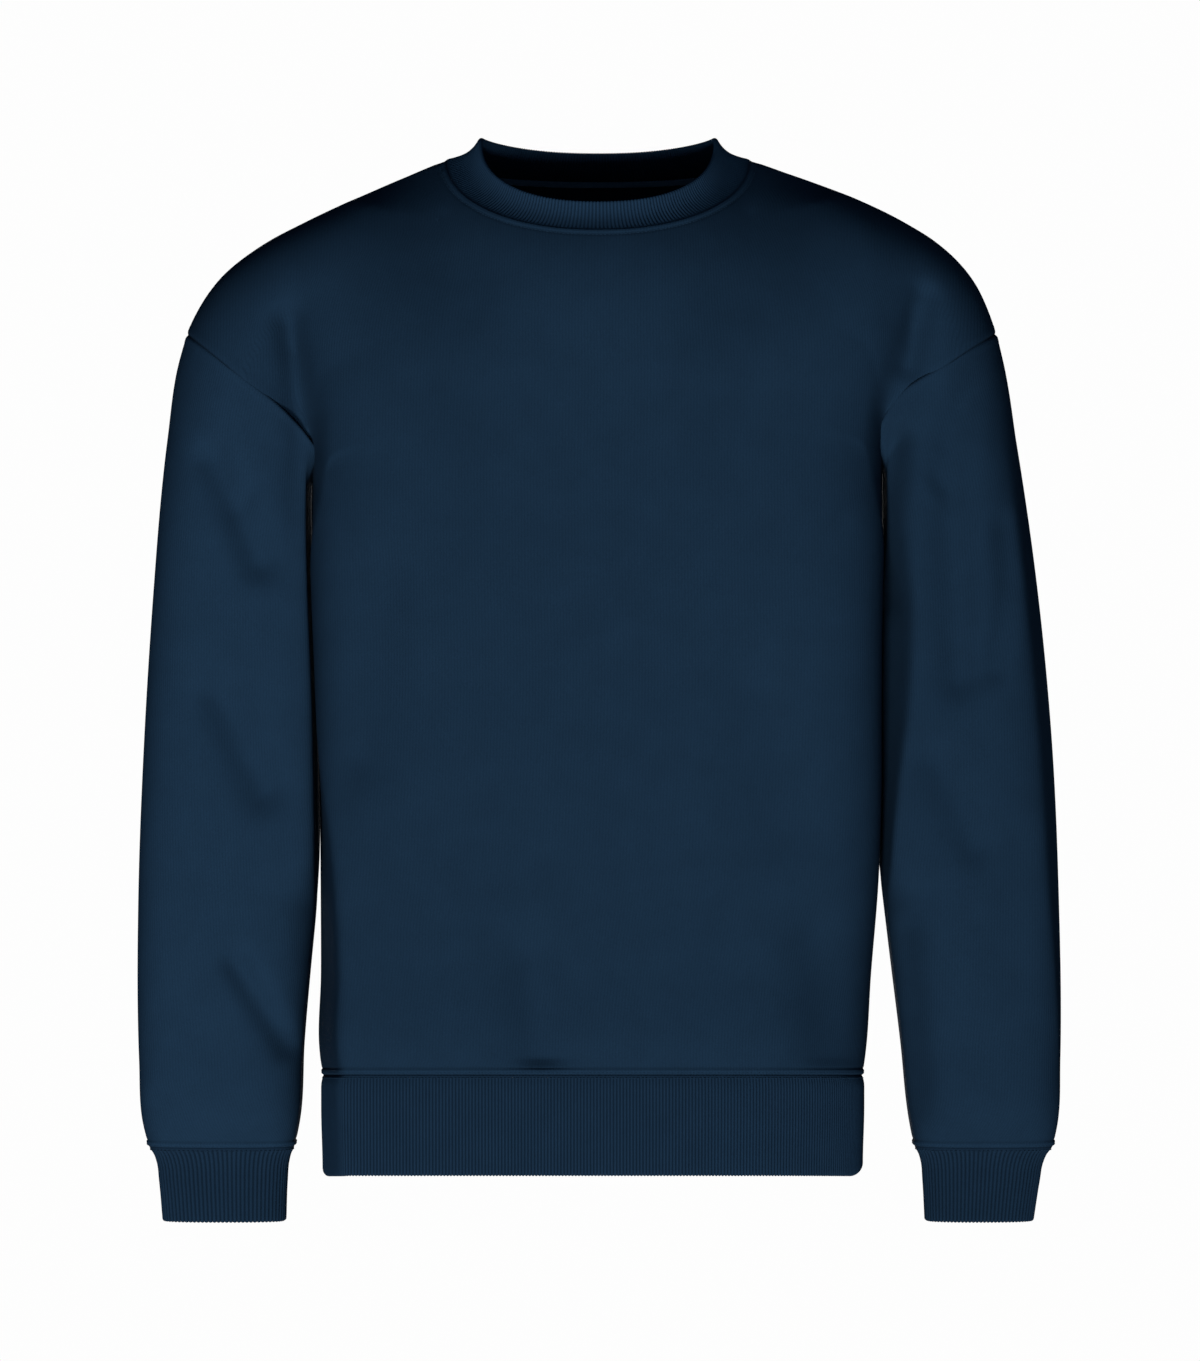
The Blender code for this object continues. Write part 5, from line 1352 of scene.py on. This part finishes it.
def knit_material(name, colour, settings, ribbed):
    """Knit cloth: wales on fleece; on ribs finer stitches that follow each rib."""
    material, tree, shader = new_material(name, settings.roughness, settings.sheen)
    pattern = tree.nodes.new("ShaderNodeUVMap")
    pattern.uv_map = PATTERN
    place = tree.nodes.new("ShaderNodeTexCoord").outputs["Object"]
    # the tone attribute holds the painted shading of seams, ribs and whole pieces
    tone = tree.nodes.new("ShaderNodeAttribute")
    tone.attribute_name = PAINTED_SHADING
    knit = group_node(
        tree,
        bpy.data.node_groups["Knit wales"],
        pattern=pattern.outputs["UV"],
        wale_pitch=1.0 if ribbed else settings.wale_pitch,  # on a band the pattern counts ribs
        course_pitch=settings.course_pitch,
    )
    height = knit.outputs["Height"]
    colours = group_node(
        tree,
        bpy.data.node_groups["Cotton tone"],
        base=(*colour, 1.0),
        height=height,
        stitch_contrast=settings.stitch_contrast,
        mottle=settings.mottle,
        fibres=settings.fibres,
        # the Seams socket takes the painted shading
        seams=tone.outputs["Fac"],
        place=place,
    )
    tree.links.new(colours.outputs["Color"], shader.inputs["Base Color"])
    fuzz = noise_node(tree, place, FIBRE_SCALE, FIBRE_DETAIL)
    raised = math_node(tree, "MULTIPLY_ADD", fuzz, FUZZ_HEIGHT, height)
    bump = tree.nodes.new("ShaderNodeBump")
    bump.inputs["Strength"].default_value = 1.0
    bump.inputs["Distance"].default_value = settings.stitch_relief
    tree.links.new(raised, bump.inputs["Height"])
    tree.links.new(bump.outputs["Normal"], shader.inputs["Normal"])
    return material


def plain_material(name, colour, roughness, sheen):
    """Thread, or plain-woven tape."""
    material, _, shader = new_material(name, roughness, sheen)
    shader.inputs["Base Color"].default_value = (*colour, 1.0)
    return material


# ---------------------------------------------------------------- settings
def colour_property(name, description, default):
    """Linear colour."""
    return bpy.props.FloatVectorProperty(
        name=name, description=description, default=default, subtype="COLOR", size=3, min=0.0, max=1.0
    )


def amount(name, description, default, most=2.0):
    """Plain factor."""
    return bpy.props.FloatProperty(name=name, description=description, default=default, min=0.0, max=most)


def small_length(name, description, default):
    """Length in metres, shown with enough digits for cloth."""
    return bpy.props.FloatProperty(
        name=name, description=description, default=default, min=0.0, max=0.05, unit="LENGTH", precision=5
    )


def lamp_power(name, description, default):
    """Power of an area light."""
    return bpy.props.FloatProperty(name=name, description=description, default=default, min=0.0, unit="POWER")


class ClothSettings(bpy.types.PropertyGroup):
    """Colours and surface of the cloth."""

    fleece_colour: colour_property("Fleece", "Colour of the body and the sleeves", (0.0100, 0.0275, 0.0540))
    rib_colour: colour_property("Rib", "Colour of the bands and the cuffs", (0.0092, 0.0252, 0.0500))
    # The tape's own lighter blue, raised further as painted light, so that it shows as a lit line in the
    # shaded back neck.
    tape_colour_and_painted_light: colour_property("Tape", "Colour of the tape inside the back neck", (0.1600, 0.3000, 0.4600))
    thread_colour: colour_property("Thread", "Colour of the topstitching", (0.0140, 0.0360, 0.0680))
    roughness: amount("Roughness", "How matt the cloth is", 0.95, 1.0)
    sheen: amount("Sheen", "Light that the fibres catch at a grazing angle", 0.0, 1.0)
    mottle: amount("Mottle", "Strength of the soft, uneven tone", 0.22)
    fibres: amount("Fibres", "Strength of the fine fibres' tone", 0.45)
    # painted shade in the gutters between wales and ribs, and painted light on their tops
    stitch_contrast: amount("Stitch contrast", "How much lighter a wale is than its gutter", 0.16)
    wale_pitch: small_length("Wale pitch", "Distance between two wales of the fleece", 0.0021)
    course_pitch: small_length("Course pitch", "Distance between two rows of stitches", 0.0017)
    stitch_relief: small_length("Stitch relief", "Height of the stitches", 0.00012)


class ShapeSettings(bpy.types.PropertyGroup):
    """Folds, seams and ribs."""

    folds: amount("Folds", "Strength of the main folds", 1.0)
    creases: amount("Creases", "Strength of the fine creases", 1.0)
    seams: amount("Seams", "Strength of the grooves and ridges at the seams", 1.0)
    rib_height: small_length("Rib height", "Height of the ribs", 0.0009)
    stitch_pitch: small_length("Stitch pitch", "Distance between two topstitches", 0.0028)
    thread_thickness: small_length("Thread", "Diameter of the topstitching thread", 0.00055)


class StageSettings(bpy.types.PropertyGroup):
    """Camera, lights and floor."""

    camera_distance: bpy.props.FloatProperty(
        name="Camera distance",
        description="Distance from the camera to the garment's middle plane",
        default=4.5,
        min=1.0,
        unit="LENGTH",
    )
    floor_height: bpy.props.FloatProperty(
        name="Floor height",
        description="Height of the floor, well below the hem",
        default=-1.60,
        unit="LENGTH",
    )
    key_power: amount("Key light", "Strength of the light in front on the left, from below", 2.10, 50.0)
    fill_power: amount("Fill light", "Strength of the light in front, from a little below", 0.80, 50.0)
    side_power: lamp_power("Side light", "Power of the light on the left", 0.8)
    back_power: lamp_power("Back light", "Power of the light behind the garment", 50.0)
    surroundings: amount("Surroundings", "Brightness of the room as the cloth sees it", 0.06, 5.0)


def cloth_settings(context):
    """The scene's settings for colours and surface."""
    return context.scene.sweatshirt_cloth


def shape_settings(context):
    """The scene's settings for shape, and the three strengths that the cloth grids depend on."""
    shape = context.scene.sweatshirt_shape
    return shape, (shape.folds, shape.creases, shape.seams)


def shared_material(name, make, *settings):
    """Material of that name, made once by a function of its name and settings."""
    return bpy.data.materials.get(name) or make(name, *settings)


def fleece(context):
    """Material of the panels and the sleeves."""
    cloth = cloth_settings(context)
    return shared_material("navy_fleece", knit_material, cloth.fleece_colour, cloth, False)


def rib_knit(context):
    """Material of the bands."""
    cloth = cloth_settings(context)
    return shared_material("navy_rib", knit_material, cloth.rib_colour, cloth, True)


def thread(context):
    """Material of the topstitching."""
    cloth = cloth_settings(context)
    return shared_material("navy_thread", plain_material, cloth.thread_colour, cloth.roughness, cloth.sheen)


def tape_weave(context):
    """Material of the neck tape."""
    cloth = cloth_settings(context)
    # the tape's colour includes painted light
    return shared_material("blue_tape", plain_material, cloth.tape_colour_and_painted_light, cloth.roughness, 0.0)


# ---------------------------------------------------------------- operators
class SWEATSHIRT_OT_body(bpy.types.Operator):
    """Make the front and the back in fleece."""

    bl_idname = "sweatshirt.body"
    bl_label = "Body"

    def execute(self, context):
        sizes = shape_settings(context)[1]
        middle = np.searchsorted(panel_columns(), COLUMNS / 2)
        for face, flat in (("front", (0.52, 0.66)), ("back", (0.52, 0.68))):
            cloth = panel_cloth(face, *sizes)
            pattern = cloth_lengths(cloth.points, middle)
            piece = shell_piece(face + "_panel", cloth, pattern, False, fleece(context))
        return {"FINISHED"}


class SWEATSHIRT_OT_sleeves(bpy.types.Operator):
    """Make both sleeves in fleece."""

    bl_idname = "sweatshirt.sleeves"
    bl_label = "Sleeves"

    def execute(self, context):
        sizes = shape_settings(context)[1]
        for side, worn in SIDES:
            cloth = sleeve_cloth(side, *sizes)
            piece = shell_piece("sleeve_" + worn, cloth, sleeve_pattern(cloth.points), True, fleece(context))
        return {"FINISHED"}


class SWEATSHIRT_OT_neckband(bpy.types.Operator):
    """Make the ribbed neckband."""

    bl_idname = "sweatshirt.neckband"
    bl_label = "Neckband"

    def execute(self, context):
        shape = shape_settings(context)[0]
        band = neckband(RIBS["neckband"] * SAMPLES_PER_RIB)
        piece = band_piece("neckband", band, NECK_SWELL, shape.rib_height, rib_knit(context))
        return {"FINISHED"}


class SWEATSHIRT_OT_hem_band(bpy.types.Operator):
    """Make the ribbed hem band."""

    bl_idname = "sweatshirt.hem_band"
    bl_label = "Hem band"

    def execute(self, context):
        shape = shape_settings(context)[0]
        band = hem_band(RIBS["hem_band"] * SAMPLES_PER_RIB)
        piece = band_piece("hem_band", band, HEM_SWELL, shape.rib_height, rib_knit(context))
        return {"FINISHED"}


class SWEATSHIRT_OT_cuffs(bpy.types.Operator):
    """Make both ribbed cuffs."""

    bl_idname = "sweatshirt.cuffs"
    bl_label = "Cuffs"

    def execute(self, context):
        shape = shape_settings(context)[0]
        for side, worn in SIDES:
            name = "cuff_" + worn
            band = cuff(side, RIBS[name] * SAMPLES_PER_RIB)
            piece = band_piece(name, band, 0.0, shape.rib_height, rib_knit(context))
        return {"FINISHED"}


class SWEATSHIRT_OT_neck_tape(bpy.types.Operator):
    """Make the tape over the seam inside the back neck."""

    bl_idname = "sweatshirt.neck_tape"
    bl_label = "Neck tape"

    def execute(self, context):
        back = panel_cloth("back", *shape_settings(context)[1])
        rows = panel_rows()
        under_neck = below_neck(1)
        near_top = (rows >= ROWS - TAPE_ROWS[1]) & (rows <= ROWS - TAPE_ROWS[0])
        window = np.ix_(near_top, under_neck)
        normals = -back.normals[window]
        plain = back.points[window] + back.relief[window][..., None] * normals
        outside = plain + (FLEECE_WALL + TAPE_LIFT + TAPE_WALL) * normals
        loops = np.concatenate([outside, (outside - TAPE_WALL * normals)[::-1]])
        pattern = cloth_lengths(outside, outside.shape[1] // 2)
        pattern = np.concatenate([pattern, pattern[::-1], pattern[:1]])
        tone = np.ones(loops.shape[:2])
        piece = cloth_piece("back_neck_tape_cloth", loops, pattern, tone, False, tape_weave(context))
        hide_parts("back_neck_tape")
        return {"FINISHED"}


class SWEATSHIRT_OT_topstitching(bpy.types.Operator):
    """Make the rows of stitches beside the neck, hem and cuff seams."""

    bl_idname = "sweatshirt.topstitching"
    bl_label = "Topstitching"

    def execute(self, context):
        shape, sizes = shape_settings(context)
        material = thread(context)
        radius = shape.thread_thickness / 2.0
        pitch = shape.stitch_pitch
        style = StitchStyle(pitch, STITCH_SHARE * pitch, radius, STITCH_LIFT * radius, STITCH_DIP * radius)
        lines = {"hem": [], "neck": []}
        for face in ("front", "back"):
            cloth = panel_cloth(face, *sizes)
            both = np.concatenate([cloth.points, cloth.normals], axis=2)
            hem = level_line(both, run_lengths(cloth.points, 0), RIDGE_STITCHES)
            top = both[-NEAR_ROWS:][::-1][:, below_neck(0)]
            from_seam = path_position(top[..., :3], neck_ring(SEAM_SHARES))[1]
            lines["hem"].append(hem)
            lines["neck"].append(level_line(top, from_seam, TOPSTITCHED.row_at))
        for name, (front, back) in lines.items():
            line = joined_loop(front, back)
            stitch_row(name + "_topstitch", line[:, :3], line[:, 3:], style, material)
        for side, worn in SIDES:
            cloth = sleeve_cloth(side, *sizes)
            both = np.concatenate([cloth.points, cloth.normals], axis=2)[::-1]
            line = level_line(both, run_lengths(both[..., :3], 0), RIDGE_STITCHES)
            name = "cuff_" + worn + "_topstitch"
            stitch_row(name, line[:, :3], line[:, 3:], style, material)
        bands = [("hem", hem_band(RIBS["hem_band"] * LINE_SAMPLES_PER_RIB))]
        for side, worn in SIDES:
            name = "cuff_" + worn
            bands.append((name, cuff(side, RIBS[name] * LINE_SAMPLES_PER_RIB)))
        for name, band in bands:
            points, normals, _ = read_band(band, [RIB_STITCHES])
            line = points[0] + RIB_MIDDLE * shape.rib_height * normals[0]
            stitch_row(name + "_rib_topstitch", line, normals[0], style, material)
        return {"FINISHED"}


class SWEATSHIRT_OT_stage(bpy.types.Operator):
    """Make the floor, the lights, the surroundings and the camera."""

    bl_idname = "sweatshirt.stage"
    bl_label = "Stage"

    def execute(self, context):
        settings = context.scene.sweatshirt_stage
        scene = context.scene
        angle = np.linspace(0.0, 2.0 * np.pi, FLOOR_CORNERS, endpoint=False)
        edge = np.stack([np.cos(angle), np.sin(angle), np.zeros(FLOOR_CORNERS)], axis=1) * FLOOR_RADIUS
        edge[:, 2] = settings.floor_height
        mesh = bpy.data.meshes.new("floor")
        mesh.from_pydata(edge.tolist(), [], [list(range(FLOOR_CORNERS))])
        material = bpy.data.materials.new("pale_floor")
        material.use_nodes = True
        shader = material.node_tree.nodes["Principled BSDF"]
        shader.inputs["Base Color"].default_value = FLOOR_COLOUR
        shader.inputs["Roughness"].default_value = FLOOR_ROUGHNESS
        mesh.materials.append(material)
        floor = bpy.data.objects.new("floor", mesh)
        scene.collection.objects.link(floor)
        middle = Vector(GARMENT_MIDDLE)
        for light in LIGHTS:
            lamp = bpy.data.lights.new(light.name, light.kind)
            if light.kind == "SUN":
                lamp.angle = np.radians(light.size)
            else:
                lamp.shape = "DISK"
                lamp.size = light.size
            lamp.energy = getattr(settings, light.power)
            thing = bpy.data.objects.new(light.name, lamp)
            thing.location = light.place
            thing.visible_camera = False
            thing.rotation_euler = (middle - Vector(light.place)).to_track_quat("-Z", "Y").to_euler()
            scene.collection.objects.link(thing)
        world = bpy.data.worlds.new("studio")
        world.use_nodes = True
        tree = world.node_tree
        background = tree.nodes["Background"]
        seen = tree.nodes.new("ShaderNodeLightPath").outputs["Is Camera Ray"]
        mix = tree.nodes.new("ShaderNodeMix")
        mix.data_type = "RGBA"  # socket 0 is then the share, 6 and 7 are the two colours, 2 is the mixed one
        tree.links.new(seen, mix.inputs[0])
        mix.inputs[6].default_value = [settings.surroundings * part for part in SURROUNDINGS_COLOUR] + [1.0]
        mix.inputs[7].default_value = (BACKDROP, BACKDROP, BACKDROP, 1.0)
        tree.links.new(mix.outputs[2], background.inputs["Color"])
        scene.world = world
        camera = bpy.data.cameras.new("camera")
        camera.lens = camera.sensor_width * settings.camera_distance / VIEW_HEIGHT
        thing = bpy.data.objects.new("camera", camera)
        thing.location = (VIEW_CENTRE[0], -settings.camera_distance, VIEW_CENTRE[1])
        thing.rotation_euler = (np.pi / 2.0, 0.0, 0.0)
        scene.collection.objects.link(thing)
        scene.camera = thing
        scene.view_settings.view_transform = "Standard"
        return {"FINISHED"}


OPERATORS = (
    SWEATSHIRT_OT_body,
    SWEATSHIRT_OT_sleeves,
    SWEATSHIRT_OT_neckband,
    SWEATSHIRT_OT_hem_band,
    SWEATSHIRT_OT_cuffs,
    SWEATSHIRT_OT_neck_tape,
    SWEATSHIRT_OT_topstitching,
    SWEATSHIRT_OT_stage,
)
SETTINGS = (
    ("sweatshirt_cloth", ClothSettings),
    ("sweatshirt_shape", ShapeSettings),
    ("sweatshirt_stage", StageSettings),
)


class SWEATSHIRT_PT_panel(bpy.types.Panel):
    """Settings and pieces of the sweatshirt."""

    bl_idname = "SWEATSHIRT_PT_panel"
    bl_label = "Sweatshirt"
    bl_space_type = "VIEW_3D"
    bl_region_type = "UI"
    bl_category = "Sweatshirt"

    def draw(self, context):
        for attribute, group in SETTINGS:
            box = self.layout.box()
            for name in group.__annotations__:
                box.prop(getattr(context.scene, attribute), name)
        for operator in OPERATORS:
            self.layout.operator(operator.bl_idname)


CLASSES = tuple(group for _, group in SETTINGS) + OPERATORS + (SWEATSHIRT_PT_panel,)


def register():
    """Register the classes and give the scene their settings."""
    for kind in CLASSES:
        bpy.utils.register_class(kind)
    for attribute, group in SETTINGS:
        setattr(bpy.types.Scene, attribute, bpy.props.PointerProperty(type=group))


def unregister():
    """Take back what register did."""
    for attribute, _ in reversed(SETTINGS):
        delattr(bpy.types.Scene, attribute)
    for kind in reversed(CLASSES):
        bpy.utils.unregister_class(kind)


def main():
    """Make everything in order."""
    register()
    wale_group()
    tone_group()
    for operator in OPERATORS:
        module, name = operator.bl_idname.split(".")
        getattr(getattr(bpy.ops, module), name)()


if __name__ == "__main__":
    main()
